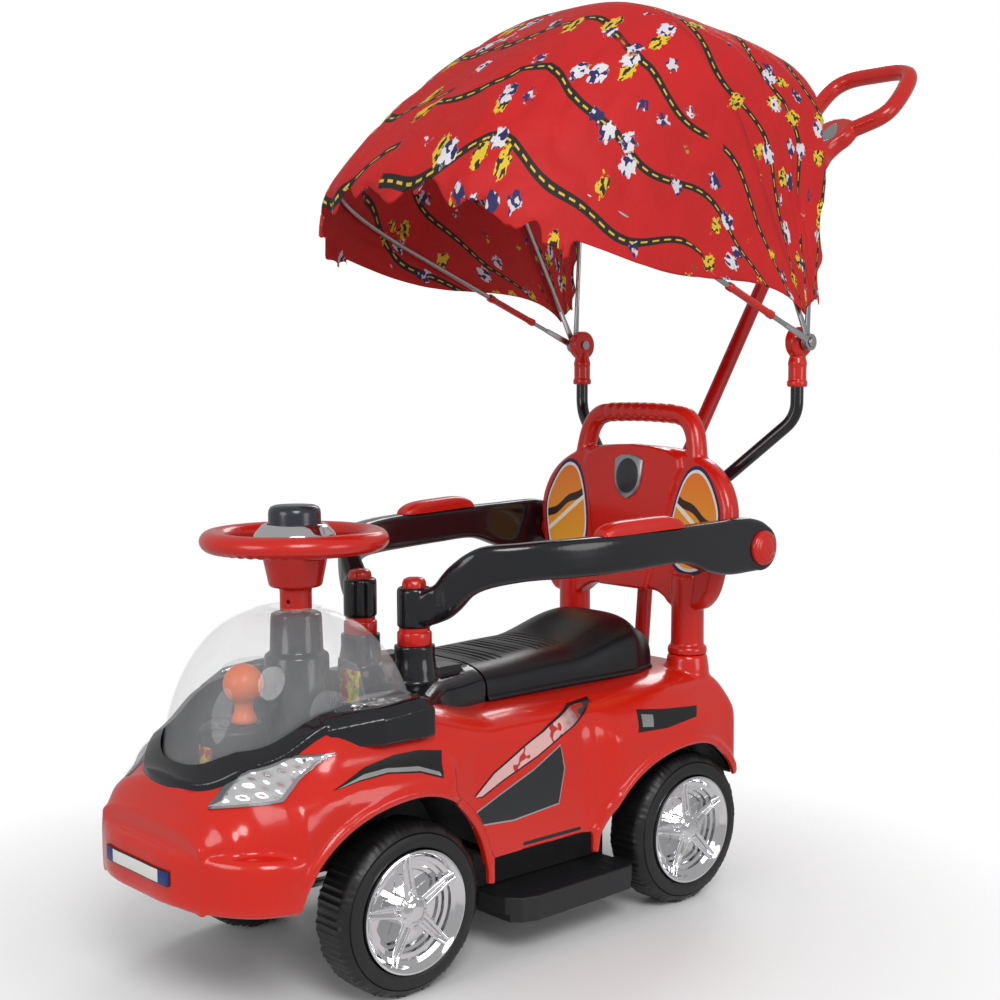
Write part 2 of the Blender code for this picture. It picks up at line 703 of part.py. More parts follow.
def tyre(name, centre, outward, rubber):
    """Blow-moulded tyre with its web, hub and the recess for the hubcap."""
    half = TYRE_WIDTH / 2
    rim = HUBCAP_RADIUS + GAP
    web = WHEEL_WEB / 2
    edge = TYRE_SHOULDER
    bore = AXLE_RADIUS + GAP
    profile = [(bore, web + 0.001), (rim, web + 0.001), (rim, half)]
    profile += [(TYRE_RADIUS - edge + edge * math.sin(math.radians(a)),
                 half - edge + edge * math.cos(math.radians(a)))
                for a in (0, 50, 90)]
    profile += [(TYRE_RADIUS - edge + edge * math.sin(math.radians(a)),
                 -half + edge + edge * math.cos(math.radians(a)))
                for a in (90, 130, 180)]
    profile += [(rim, -half), (rim, -web), (0.014, -web), (0.014, -0.017), (bore, -0.017)]
    profile = [(r, outward * a) for r, a in profile]
    return part(name, turned(profile, name, centre, "y", WHEEL_SIDES, closed=True), rubber, centre)


def hubcap(name, centre, outward, chrome):
    """Five-spoke cap in the tyre's recess, over the axle's end."""
    seat = WHEEL_WEB / 2 + 0.001 + GAP
    face = seat + HUBCAP_DEPTH
    floor = seat + 0.003
    rim = HUBCAP_RADIUS
    profile = [(0, floor), (rim - 0.007, floor), (rim - 0.006, face - 0.004), (rim - 0.003, face),
               (rim, face - 0.002),
               (rim, seat), (0, seat)]
    profile = [(r, outward * a) for r, a in profile]
    cap = part(name, turned(profile, name, centre, "y", WHEEL_SIDES), chrome, centre)
    hub = [(0, floor - 0.001), (0.016, floor - 0.001), (0.014, face - 0.006), (0.009, face - 0.003),
           (0, face - 0.003)]
    join(cap, turned([(r, outward * a) for r, a in hub], "hub", centre, "y", 9))
    for i in range(SPOKE_COUNT):
        turn = Matrix.Rotation(2 * math.pi * i / SPOKE_COUNT + math.radians(18), 4, "Y")
        spoke = []
        for reach, width, height in ((0.007, 0.0045, face - 0.004), (rim - 0.0045, 0.0095, face - 0.006)):
            ring = ((-width, floor - 0.001), (width, floor - 0.001), (width * 0.6, height),
                    (-width * 0.6, height))
            spoke.append([Vector(centre) + turn @ Vector((u, outward * v, reach)) for u, v in ring])
        join(cap, loft(spoke, "spoke"))
    cut(cap, rod(centre, Vector(centre) + Vector((0, outward * (seat + AXLE_TAIL), 0)),
                 AXLE_RADIUS + GAP, "axle_pocket", 12))
    return cap


def wheels(rubber, chrome):
    """Tyre and hubcap of each corner."""
    for place, x in (("front", FRONT_AXLE), ("rear", 0.0)):
        for side_name, side in SIDES:
            centre = (x, side * WHEEL_Y, TYRE_RADIUS)
            tyre(f"tyre_{place}_{side_name}", centre, side, rubber)
            hubcap(f"hubcap_{place}_{side_name}", centre, side, chrome)


def rear_axle(steel):
    """Steel rod through the pan's brackets and both rear wheels."""
    end = WHEEL_Y + WHEEL_WEB / 2 + AXLE_TAIL - 0.001
    rod_mesh = rod((0, -end, TYRE_RADIUS), (0, end, TYRE_RADIUS), AXLE_RADIUS, "rear_axle", 12)
    return part("rear_axle", rod_mesh, steel)


def knuckle(side_name, side, steel):
    """King-pin, stub axle and steering arm in one forging."""
    pivot = Vector((FRONT_AXLE, side * KINGPIN_Y, TYRE_RADIUS))
    end = WHEEL_Y + WHEEL_WEB / 2 + AXLE_TAIL - 0.001
    name = "knuckle_" + side_name
    stub = part(name, rod(pivot, (FRONT_AXLE, side * end, TYRE_RADIUS), AXLE_RADIUS, name, 12), steel, pivot)
    pin = rod(pivot - Vector((0, 0, 0.010)), (pivot.x, pivot.y, 0.140), KINGPIN_RADIUS, "kingpin", 12)
    block = rod(pivot - Vector((0, 0, 0.012)), pivot + Vector((0, 0, 0.012)), KNUCKLE_BOSS_RADIUS, "block",
                14)
    arm_end = pivot + Vector((-STEER_ARM, 0, 0))
    low, high = pivot.z - 0.011, pivot.z - 0.006
    arm = box((arm_end.x - 0.006, pivot.y - 0.006, low), (pivot.x, pivot.y + 0.006, high), "arm")
    link = rod((arm_end.x, arm_end.y, TIE_ROD_Z - TIE_ROD_THICK / 2 - 0.003),
               (arm_end.x, arm_end.y, low + 0.001),
               LINK_PIN_RADIUS, "link_pin", 10)
    return join(stub, pin, block, arm, link)


def tie_rod(steel):
    """Flat bar that joins both knuckles to the crank, with a tab in the middle."""
    x = FRONT_AXLE - STEER_ARM
    low, high = TIE_ROD_Z - TIE_ROD_THICK / 2, TIE_ROD_Z + TIE_ROD_THICK / 2
    reach = KINGPIN_Y + 0.007
    pivot = (COLUMN_X - STEER_ARM, 0, TIE_ROD_Z)
    bar = part("tie_rod", box((x - 0.006, -reach, low), (x + 0.006, reach, high), "tie_rod"), steel, pivot)
    join(bar, box((x, -0.010, low), (pivot[0] + 0.008, 0.010, high), "tab"))
    for px, py in ((x, KINGPIN_Y), (x, -KINGPIN_Y), pivot[:2]):
        cut(bar, rod((px, py, low - 0.01), (px, py, high + 0.01), LINK_PIN_RADIUS + RUNNING_GAP,
                     "link_hole", 10))
    return bar


def steering_shaft(steel):
    """Column shaft with the crank that drives the tie rod."""
    top = HUB_Z[0] + 0.020
    pivot = (COLUMN_X, 0, TYRE_RADIUS)
    low, high = TYRE_RADIUS - 0.011, TYRE_RADIUS - 0.006
    shaft = part("steering_shaft", rod((COLUMN_X, 0, low), (COLUMN_X, 0, top), SHAFT_RADIUS,
                                       "steering_shaft", 12),
                 steel, pivot)
    crank_x = COLUMN_X - STEER_ARM
    crank = box((crank_x - 0.006, -0.006, low), (COLUMN_X, 0.006, high), "crank")
    pin = rod((crank_x, 0, TIE_ROD_Z - TIE_ROD_THICK / 2 - 0.003), (crank_x, 0, low + 0.001),
              LINK_PIN_RADIUS, "crank_pin", 16)
    return join(shaft, crank, pin)


def steering_wheel(red):
    """Ring, three spokes, cone hub and column in one moulding."""
    centre = (COLUMN_X, 0, RING_Z)
    ring = [(RING_RADIUS + RING_TUBE * math.cos(t), RING_Z + RING_TUBE * 0.9 * math.sin(t))
            for t in (2 * math.pi * i / 6 for i in range(6))]
    wheel = part("steering_wheel", turned(ring, "steering_wheel", (COLUMN_X, 0, 0), "z", 26, closed=True),
                 red, centre)
    low, high = HUB_Z
    hub = [(0, TOWER_TOP_Z + 0.002), (COLUMN_RADIUS, TOWER_TOP_Z + 0.002), (COLUMN_RADIUS, low),
           (HUB_RADII[0], low),
           (HUB_RADII[1], high), (HUB_RADII[1], high + 0.006), (0, high + 0.006)]
    join(wheel, turned(hub, "wheel_hub", (COLUMN_X, 0, 0), "z", 18))
    for angle in (90, 210, 330):
        heading = Vector((math.cos(math.radians(angle)), math.sin(math.radians(angle)), 0))
        start = Vector((COLUMN_X, 0, HUB_Z[1] - 0.007)) + heading * (HUB_RADII[1] - 0.008)
        end = Vector(centre) + heading * RING_RADIUS
        spoke = tube([start, end], 0.015, "wheel_spoke", 8, flat=0.42)
        join(wheel, spoke)
    cut(wheel, rod((COLUMN_X, 0, TOWER_TOP_Z - 0.01), (COLUMN_X, 0, HUB_Z[0] + 0.0203), SHAFT_RADIUS + GAP,
                   "shaft_socket", 12))
    pocket = HORN_RADIUS + SLIDE_GAP
    cut(wheel, rod((COLUMN_X, 0, high - HORN_HEIGHT + 0.004), (COLUMN_X, 0, high + 0.02), pocket,
                   "horn_pocket", 20))
    return wheel


def steering_trim(chrome):
    """Bright plate round the horn button."""
    base = HUB_Z[1] + 0.006 + GAP
    hole = HORN_RADIUS + SLIDE_GAP
    profile = [(hole, base), (TRIM_RADIUS, base), (TRIM_RADIUS, base + TRIM_THICK),
               (hole + 0.006, base + TRIM_HEIGHT - 0.004), (hole + 0.003, base + TRIM_HEIGHT),
               (hole, base + TRIM_HEIGHT)]
    return part("steering_trim", turned(profile, "steering_trim", (COLUMN_X, 0, 0), "z", 12, closed=True),
                chrome)


def horn(dark, steel):
    """Horn button in the wheel's pocket, on its return spring."""
    base = HUB_Z[1]
    top = HUB_Z[1] + 0.006 + TRIM_HEIGHT + HORN_PROUD
    profile = [(0, base), (HORN_RADIUS, base), (HORN_RADIUS, top - 0.004), (HORN_RADIUS - 0.004, top),
               (0, top)]
    part("horn_button", turned(profile, "horn_button", (COLUMN_X, 0, 0), "z", 20), dark, (COLUMN_X, 0, base))
    floor = HUB_Z[1] - HORN_HEIGHT + 0.004
    low, high = floor + SPRING_WIRE + GAP, base - SPRING_WIRE - GAP
    radius = HORN_RADIUS * 0.5
    steps = SPRING_TURNS * 8
    points = [(COLUMN_X + radius * math.cos(2 * math.pi * SPRING_TURNS * t),
               radius * math.sin(2 * math.pi * SPRING_TURNS * t), low + (high - low) * t)
              for t in spread(0, 1, steps + 1)]
    part("horn_spring", tube(points, SPRING_WIRE, "horn_spring", 4), steel, (COLUMN_X, 0, floor))


def dash_trim(black):
    """Black dash: bezel, floor, tower, side pods and the rear cover with the post bosses."""
    dash = part("dash_trim", prism(bezel_outline(), FLOOR_Z, 0.40, "dash_trim"), black)
    keep(dash, hull_mesh("bezel_skin", -BEZEL_HEIGHT, SILL_Z - 0.04))
    join(dash, rear_cover())
    for side in (1, -1):
        join(dash, pod(side))
        boss = [(0, DECK_Z + 0.012), (SLEEVE_RADIUS + 0.008, DECK_Z + 0.012), (SLEEVE_RADIUS + 0.003, 0.315),
                (SLEEVE_RADIUS + 0.003, BOSS_TOP_Z), (0, BOSS_TOP_Z)]
        join(dash, turned(boss, "post_boss", (POST[0], side * POST[1], 0), "z", 16))
    body = tool(keepout())
    cut(body, prism(bezel_outline(BEZEL_BAND / 2 + GAP), FLOOR_Z - 0.03, 0.42, "body_opening"))
    cut(dash, body)
    cut(dash, prism(bezel_outline(BEZEL_BAND), FLOOR_Z + FLOOR_THICK, 0.43, "dome_seat"))
    hinge_x = SEAM_X - HINGE_RADIUS
    hinge_z = SEAT_FRONT_Z - HINGE_RADIUS
    for side in (1, -1):
        low, high = side * LUG_Y - LUG_WIDTH / 2, side * LUG_Y + LUG_WIDTH / 2
        join(dash, rod((hinge_x, low, hinge_z), (hinge_x, high, hinge_z), HINGE_RADIUS, "lug", 12))
        web = box((hinge_x, low + GAP, hinge_z - HINGE_RADIUS + GAP),
                  (SEAM_X + 0.006, high - GAP, hinge_z + 0.0025), "web")
        join(dash, web)
    wide, narrow = TOWER_RADII
    tower = [(0, FLOOR_Z + 0.001), (wide + 0.006, FLOOR_Z + 0.001), (wide, FLOOR_Z + 0.04),
             (wide, TOWER_STEP_Z), (narrow, TOWER_STEP_Z + 0.004), (narrow, TOWER_TOP_Z), (0, TOWER_TOP_Z)]
    join(dash, turned(tower, "tower", (COLUMN_X, 0, 0), "z", 18))
    cut(dash, rod((COLUMN_X, 0, FLOOR_Z - 0.02), (COLUMN_X, 0, 0.40), SHAFT_RADIUS + RUNNING_GAP,
                  "shaft_hole", 12))
    cut(dash, rod((COLUMN_X, 0, FLOOR_Z - 0.03), (COLUMN_X, 0, TOWER_TOP_Z - 0.012), TOWER_RADII[1] - 0.006,
                  "tower_hollow", 12))
    cut(dash, rod((hinge_x, -0.1, hinge_z), (hinge_x, 0.1, hinge_z), HINGE_PIN_RADIUS + GAP, "lug_bore", 8))
    cut(dash, rod((TURNTABLE_X, 0, FLOOR_Z - 0.01), (TURNTABLE_X, 0, FLOOR_Z + 0.02), AXLE_RADIUS + GAP,
                  "toy_bore", 10))
    return dash


def rear_cover():
    """Crowned cover from behind the dome back to the seat's seam."""
    front = BEZEL_REAR_X + 0.030
    rings = []
    for x in (SEAM_X + SEAM_GAP, 0.275, 0.31, 0.335, front):
        top = interpolate(((SEAM_X, SEAT_FRONT_Z), (0.30, SEAT_FRONT_Z - 0.004),
                           (front, SHOULDER_Z + 0.006)), x)
        side = interpolate(((SEAM_X, SEAT_HALF_WIDTH), (0.30, SEAT_HALF_WIDTH + 0.006), (front, 0.112)), x)
        rings.append([(x, y, z) for y, z in seat_ring(side, top, DECK_Z - 0.003)])
    return loft(rings, "rear_cover")


def seat_ring(side, top, base):
    """Half-round section shared by the seat and the cover in front of it."""
    power = 2 / 3.4
    points = [(side, base)]
    for i in range(6):
        angle = math.pi / 2 * i / 5
        points.append((side * math.cos(angle) ** power if i < 5 else 0.0,
                       base + 0.008 + (top - base - 0.008) * math.sin(angle) ** power))
    return points + [(-y, z) for y, z in reversed(points[:-1])]


def pod(side, grow=0.0):
    """Side pod that carries the clear indicator lens; its top is raised by the growth."""
    x0, x1 = POD_X
    inner, outer = BEZEL_HALF_WIDTH - 0.028, BODY_HALF_WIDTH + 0.003
    rings = []
    for x, top, out in ((x0, SHOULDER_Z + 0.010, outer), (x0 + 0.012, SHOULDER_Z + 0.014, outer + 0.001),
                        (x1 - 0.045, SHOULDER_Z + 0.010, outer), (x1, SHOULDER_Z + 0.001, inner + 0.026)):
        top += grow
        section = ((inner, SHOULDER_Z - 0.03), (out, SHOULDER_Z - 0.026), (out, top - 0.010),
                   (out - 0.010, top), (inner, top + 0.002))
        rings.append([(x, side * y, z) for y, z in section])
    return loft(rings, "pod")


def indicator(side_name, side, clear):
    """Clear side lens on the pod."""
    x0, x1 = POD_X[0] + 0.010, POD_X[1] - 0.040
    y0, y1 = BEZEL_HALF_WIDTH - 0.016, BODY_HALF_WIDTH - 0.010
    z = SHOULDER_Z + 0.016
    outline = [(x0, side * (y1 - 0.008)), (x0 + 0.010, side * y1), (x1 - 0.02, side * y1),
               (x1 + 0.012, side * (y0 + 0.008)), (x1 - 0.01, side * y0), (x0 + 0.004, side * (y0 + 0.004))]
    rings = [[(x, y, z - 0.010) for x, y in outline],
             [(x, y, z + 0.002) for x, y in outline],
             [(x0 + (x - x0) * 0.7 + 0.008, side * (y0 + (abs(y) - y0) * 0.6 + 0.006), z + 0.005)
              for x, y in outline]]
    name = "indicator_" + side_name
    return cut(part(name, loft(rings, name), clear), pod(side, GAP))


def dome_profile(shrink):
    """Rings of the dome from its rim to its crown."""
    outline = bezel_outline(BEZEL_BAND + GAP + shrink)
    top = DOME_TOP_Z - shrink
    crown_x = COLUMN_X + 0.012
    rings = []
    for i in range(7):
        angle = math.pi / 2 * i / 6
        scale = math.cos(angle) ** 0.8 if i < 6 else 0.03
        ring = []
        for x, y in outline:
            base = FLOOR_Z + FLOOR_THICK + GAP
            ring.append((crown_x + (x - crown_x) * scale, y * scale, base + (top - base) * math.sin(angle)))
        rings.append(ring)
    return rings


def dome(clear):
    """Clear dome, open below, with the hole that the steering column passes."""
    item = part("dome", loft(dome_profile(0.0), "dome"), clear)
    inner = dome_profile(DOME_WALL)
    inner[0] = [(x, y, z - 0.02) for x, y, z in inner[0]]
    cut(item, loft(inner, "dome_hollow"))
    cut(item, rod((COLUMN_X, 0, TOWER_TOP_Z - 0.03), (COLUMN_X, 0, 0.42), TOWER_RADII[1] + 0.002,
                  "column_hole", 24))
    return item


def headlight_outline(side):
    """Side view of the headlight: blunt in front with a long tip behind."""
    return ((0.5888, 0.2109), (0.5780, 0.2187), (0.5659, 0.2311), (0.5555, 0.2421), (0.5441, 0.2498),
            (0.5075, 0.2556), (0.4832, 0.2574), (0.4990, 0.2496), (0.5205, 0.2353), (0.5421, 0.2193),
            (0.5540, 0.2158), (0.5704, 0.2127))


def headlight(side_name, side, clear):
    """Lens that follows the corner of the body."""
    low, high = sorted((side * 0.062, side * 0.2))
    lens = part("headlight_" + side_name, prism(headlight_outline(side), low, high, "headlight", "y"), clear)
    keep(lens, hull_mesh("lens_skin", -0.0032, SILL_Z - 0.04))
    return cut(lens, keepout(), prism(bezel_outline(-GAP), FLOOR_Z - 0.03, 0.42, "bezel_edge"))


def number_plate(white):
    """Bare strip that follows the front of the bumper."""
    width, height = PLATE_SIZE
    middle = BUMPER_Z[0] + 0.027
    outer, inner = (bumper_outline(-GAP - PLATE_THICK), bumper_outline(-GAP))
    low, high = middle - height / 2, middle + height / 2
    plate = part("number_plate", prism(outer, low, high, "number_plate"), white)
    cut(plate, prism(inner, low - 0.01, high + 0.01, "plate_back"))
    return keep(plate, box((0.5, -width / 2, low - 0.02), (0.7, width / 2, high + 0.02), "plate_width"))


def toy(dark, orange):
    """Turntable under the dome with its plain peg."""
    top = FLOOR_Z + FLOOR_THICK + RUNNING_GAP
    drum = [(0, top), (TURNTABLE_RADIUS, top), (TURNTABLE_RADIUS, top + TURNTABLE_HEIGHT - 0.006),
            (TURNTABLE_RADIUS - 0.007, top + TURNTABLE_HEIGHT), (0, top + TURNTABLE_HEIGHT)]
    centre = (TURNTABLE_X, 0, 0)
    plate = part("toy_turntable", turned(drum, "toy_turntable", centre, "z", 20), dark,
                 (TURNTABLE_X, 0, top))
    join(plate, rod((TURNTABLE_X, 0, FLOOR_Z - 0.004), (TURNTABLE_X, 0, top + 0.004), AXLE_RADIUS,
                    "toy_pin", 10))
    base = top + TURNTABLE_HEIGHT + GAP
    peg = [(0, base), (0.012, base), (0.0125, base + 0.006), (0.009, base + 0.014), (0.009, base + 0.022)]
    middle = base + PEG_HEIGHT - PEG_RADIUS
    peg += [(PEG_RADIUS * math.cos(math.radians(a)), middle + PEG_RADIUS * math.sin(math.radians(a)))
            for a in (-50, -25, 0, 30, 60)] + [(0, base + PEG_HEIGHT)]
    place = (TURNTABLE_X - 0.008, 0.008, 0)
    part("toy_peg", turned(peg, "toy_peg", place, "z", 14), orange, (TURNTABLE_X, 0, base))


def seat_profile(x):
    """Height of the seat's top along the car."""
    return interpolate(((SEAT_REAR_X, SEAT_PEAK_Z - 0.044), (SEAT_REAR_X + 0.010, SEAT_PEAK_Z - 0.018),
                        (SEAT_REAR_X + 0.042, SEAT_PEAK_Z), (0.115, SEAT_FRONT_Z + 0.004),
                        (SEAM_X, SEAT_FRONT_Z)), x)


def seat_width(x):
    return interpolate(((SEAT_REAR_X, SEAT_HALF_WIDTH - 0.026),
                        (SEAT_REAR_X + 0.012, SEAT_HALF_WIDTH - 0.008),
                        (SEAT_REAR_X + 0.05, SEAT_HALF_WIDTH + 0.002), (0.13, SEAT_HALF_WIDTH - 0.002),
                        (SEAM_X, SEAT_HALF_WIDTH)), x)


def seat_rings(inset, base):
    rings = []
    places = (SEAT_REAR_X, SEAT_REAR_X + 0.008, SEAT_REAR_X + 0.036, 0.06, 0.13, SEAM_X)
    for i, x in enumerate(places):
        place = x + (inset if i == 0 else -inset if i == len(places) - 1 else 0)
        section = seat_ring(seat_width(x) - inset, seat_profile(x) - inset, base)
        rings.append([(place, y, z) for y, z in section])
    return rings


def seat_lid(black, steel):
    """Hard seat, hollow below, that hinges at its front seam over the storage bin."""
    hinge = (SEAM_X - HINGE_RADIUS, 0, SEAT_FRONT_Z - HINGE_RADIUS)
    seat = part("seat_lid", loft(seat_rings(0.0, DECK_Z - 0.004), "seat_lid"), black, hinge)
    cut(seat, keepout())
    hollow = loft(seat_rings(SEAT_WALL, DECK_Z - 0.03), "seat_hollow")
    cut(seat, hollow)
    barrel = rod((hinge[0], -SEAT_HALF_WIDTH + 0.02, hinge[2]), (hinge[0], SEAT_HALF_WIDTH - 0.02, hinge[2]),
                 HINGE_RADIUS - 0.0002, "barrel", 16)
    join(seat, barrel)
    for side in (1, -1):
        low, high = side * LUG_Y - LUG_WIDTH / 2 - RUNNING_GAP, side * LUG_Y + LUG_WIDTH / 2 + RUNNING_GAP
        cut(seat, box((hinge[0] - HINGE_RADIUS - 0.003, low, DECK_Z - 0.01),
                      (SEAM_X + 0.01, high, SEAT_FRONT_Z + 0.01),
                      "lug_slot"))
    reach = LUG_Y + LUG_WIDTH
    cut(seat, rod((hinge[0], -reach, hinge[2]), (hinge[0], reach, hinge[2]), HINGE_PIN_RADIUS + GAP,
                  "pin_bore", 12))
    pin = rod((hinge[0], -reach + GAP, hinge[2]), (hinge[0], reach - GAP, hinge[2]), HINGE_PIN_RADIUS,
              "pin", 12)
    part("seat_hinge_pin", pin, steel)


def storage_bin(black):
    """Tray under the seat, hung by its lip on the deck."""
    wall = BIN_WALL
    lip_z = DECK_Z + 0.0045
    tray = part("storage_bin", prism(seat_opening(-GAP), BIN_FLOOR_Z, lip_z, "storage_bin"), black)
    lip = tool(prism(seat_opening(0.007), DECK_Z - 0.01, 0.2665, "bin_lip"))
    cut(lip, keepout())
    join(tray, lip)
    return cut(tray, prism(seat_opening(-GAP - wall), BIN_FLOOR_Z + wall, DECK_Z + 0.03, "bin_hollow"))


def back_outline():
    """Front view of the backrest panel, from the middle of the bottom round to the top."""
    w, low, high = BACK_HALF_WIDTH, BACK_BOTTOM_Z, BACK_TOP_Z
    half = [(0.050, low + 0.006), (0.076, low - 0.002), (0.080, low - 0.010), (0.118, low - 0.010),
            (w - 0.030, low - 0.004), (w - 0.016, low + 0.018), (w - 0.010, low + 0.050),
            (w - 0.002, low + 0.080), (w, low + 0.108), (w - 0.010, low + 0.136), (w - 0.030, low + 0.158),
            (w - 0.062, high - 0.010), (w - 0.100, high - 0.003)]
    return half + [(-y, z) for y, z in reversed(half)]


def backrest(red):
    """Backrest panel with its two posts and the carry handle, leaning back a little."""
    lean = BACK_LEAN
    x0, x1 = BACK_FRONT_X - BACK_THICK, BACK_FRONT_X
    rings = []
    for x, scale in ((x0, 0.94), (x0 + 0.006, 1.0), (x1 - 0.007, 1.0), (x1, 0.93)):
        middle = (BACK_BOTTOM_Z + BACK_TOP_Z) / 2
        ring = []
        for y, z in back_outline():
            height = middle + (z - middle) * scale
            ring.append((x - (height - BACK_BOTTOM_Z) * lean, y * scale, height))
        rings.append(ring)
    back = part("backrest", loft(rings, "backrest"), red)
    top = HANDLE_TOP_Z - HANDLE_TUBE
    half = HANDLE_HALF_WIDTH
    foot = BACK_TOP_Z - 0.025
    centre = (x0 + x1) / 2
    path = bend_path([(centre - (foot - BACK_BOTTOM_Z) * lean, half + 0.012, foot),
                      (centre - (top - BACK_BOTTOM_Z) * lean, half - 0.010, top),
                      (centre - (top - BACK_BOTTOM_Z) * lean, -half + 0.010, top),
                      (centre - (foot - BACK_BOTTOM_Z) * lean, -half - 0.012, foot)], 0.030, 5)
    join(back, tube(path, HANDLE_TUBE, "carry_handle", 8))
    for side in (1, -1):
        x, y = BACK_POST[0], side * BACK_POST[1]
        join(back, rod((x, y, BACK_COLLAR_Z - 0.008 + GAP), (x, y, BACK_BOTTOM_Z + 0.03), BACK_POST_RADIUS,
                       "back_post", 14))
        join(back, rod((x, y, BACK_COLLAR_Z - 0.008 + GAP), (x, y, BACK_COLLAR_Z + 0.002),
                       BACK_POST_RADIUS + 0.004, "foot", 14))
        px, pz = RAIL_PIVOT
        ear_out = RAIL_Y - RAIL_WIDTH / 2 - RUNNING_GAP
        low, high = sorted((side * (BACK_HALF_WIDTH - 0.030), side * ear_out))
        join(back, rod((px, low, pz), (px, high, pz), 0.020, "rail_ear", 14))
        join(back, box((px, min(side * 0.13, side * 0.150), pz - 0.016),
                       (BACK_FRONT_X - 0.012, max(side * 0.13, side * 0.150), pz + 0.016), "ear_web"))
        pin_end = side * (RAIL_Y + RAIL_WIDTH / 2 - 0.010)
        low, high = sorted((side * (ear_out - 0.004), pin_end))
        join(back, rod((px, low, pz), (px, high, pz), RAIL_PIN_RADIUS, "rail_pin", 12))
        sy, sz = side * TUBE_SOCKET[0], TUBE_SOCKET[1]
        sx = x0 - (sz - BACK_BOTTOM_Z) * lean
        join(back, rod((sx - 0.012, sy, sz), (sx + 0.012, sy, sz), TUBE_RADIUS + 0.005, "tube_socket", 12))
        cut(back, bore((sx - 0.03, sy, sz), (sx + 0.010, sy, sz), TUBE_RADIUS + GAP, "tube_bore", 10))
    return back


def rail_stations(side):
    """Place, height and width of the guard rail from the socket to the pivot."""
    px, pz = RAIL_PIVOT
    top = pz + 0.035
    post_x, post_y = POST
    low = SLEEVE_TOP_Z + RUNNING_GAP
    rows = [(post_x - 0.004, post_y + 0.006, low + 0.003, SOCKET_TOP_Z - 0.008, 0.009),
            (post_x - 0.011, post_y + 0.026, low + 0.004, SOCKET_TOP_Z, 0.010),
            (post_x - 0.020, post_y + 0.046, low + 0.014, top - 0.028, 0.011),
            (post_x - 0.034, post_y + 0.068, top - RAIL_HEIGHT - 0.016, top - 0.012, RAIL_WIDTH / 2),
            (post_x - 0.066, post_y + 0.094, top - RAIL_HEIGHT - 0.006, top - 0.008, RAIL_WIDTH / 2),
            (0.1625, RAIL_Y - 0.008, top - RAIL_HEIGHT - 0.003, top - 0.004, RAIL_WIDTH / 2),
            (0.0450, RAIL_Y, top - RAIL_HEIGHT, top - 0.001, RAIL_WIDTH / 2),
            (0.0, RAIL_Y, top - RAIL_HEIGHT - 0.014, top, RAIL_WIDTH / 2),
            (px + 0.02, RAIL_Y, top - RAIL_HEIGHT - 0.020, top + 0.001, RAIL_WIDTH / 2),
            (px - 0.020, RAIL_Y, top - RAIL_HEIGHT - 0.018, top - 0.012, RAIL_WIDTH / 2)]
    return [(x, side * y, z0, z1, w) for x, y, z0, z1, w in rows]


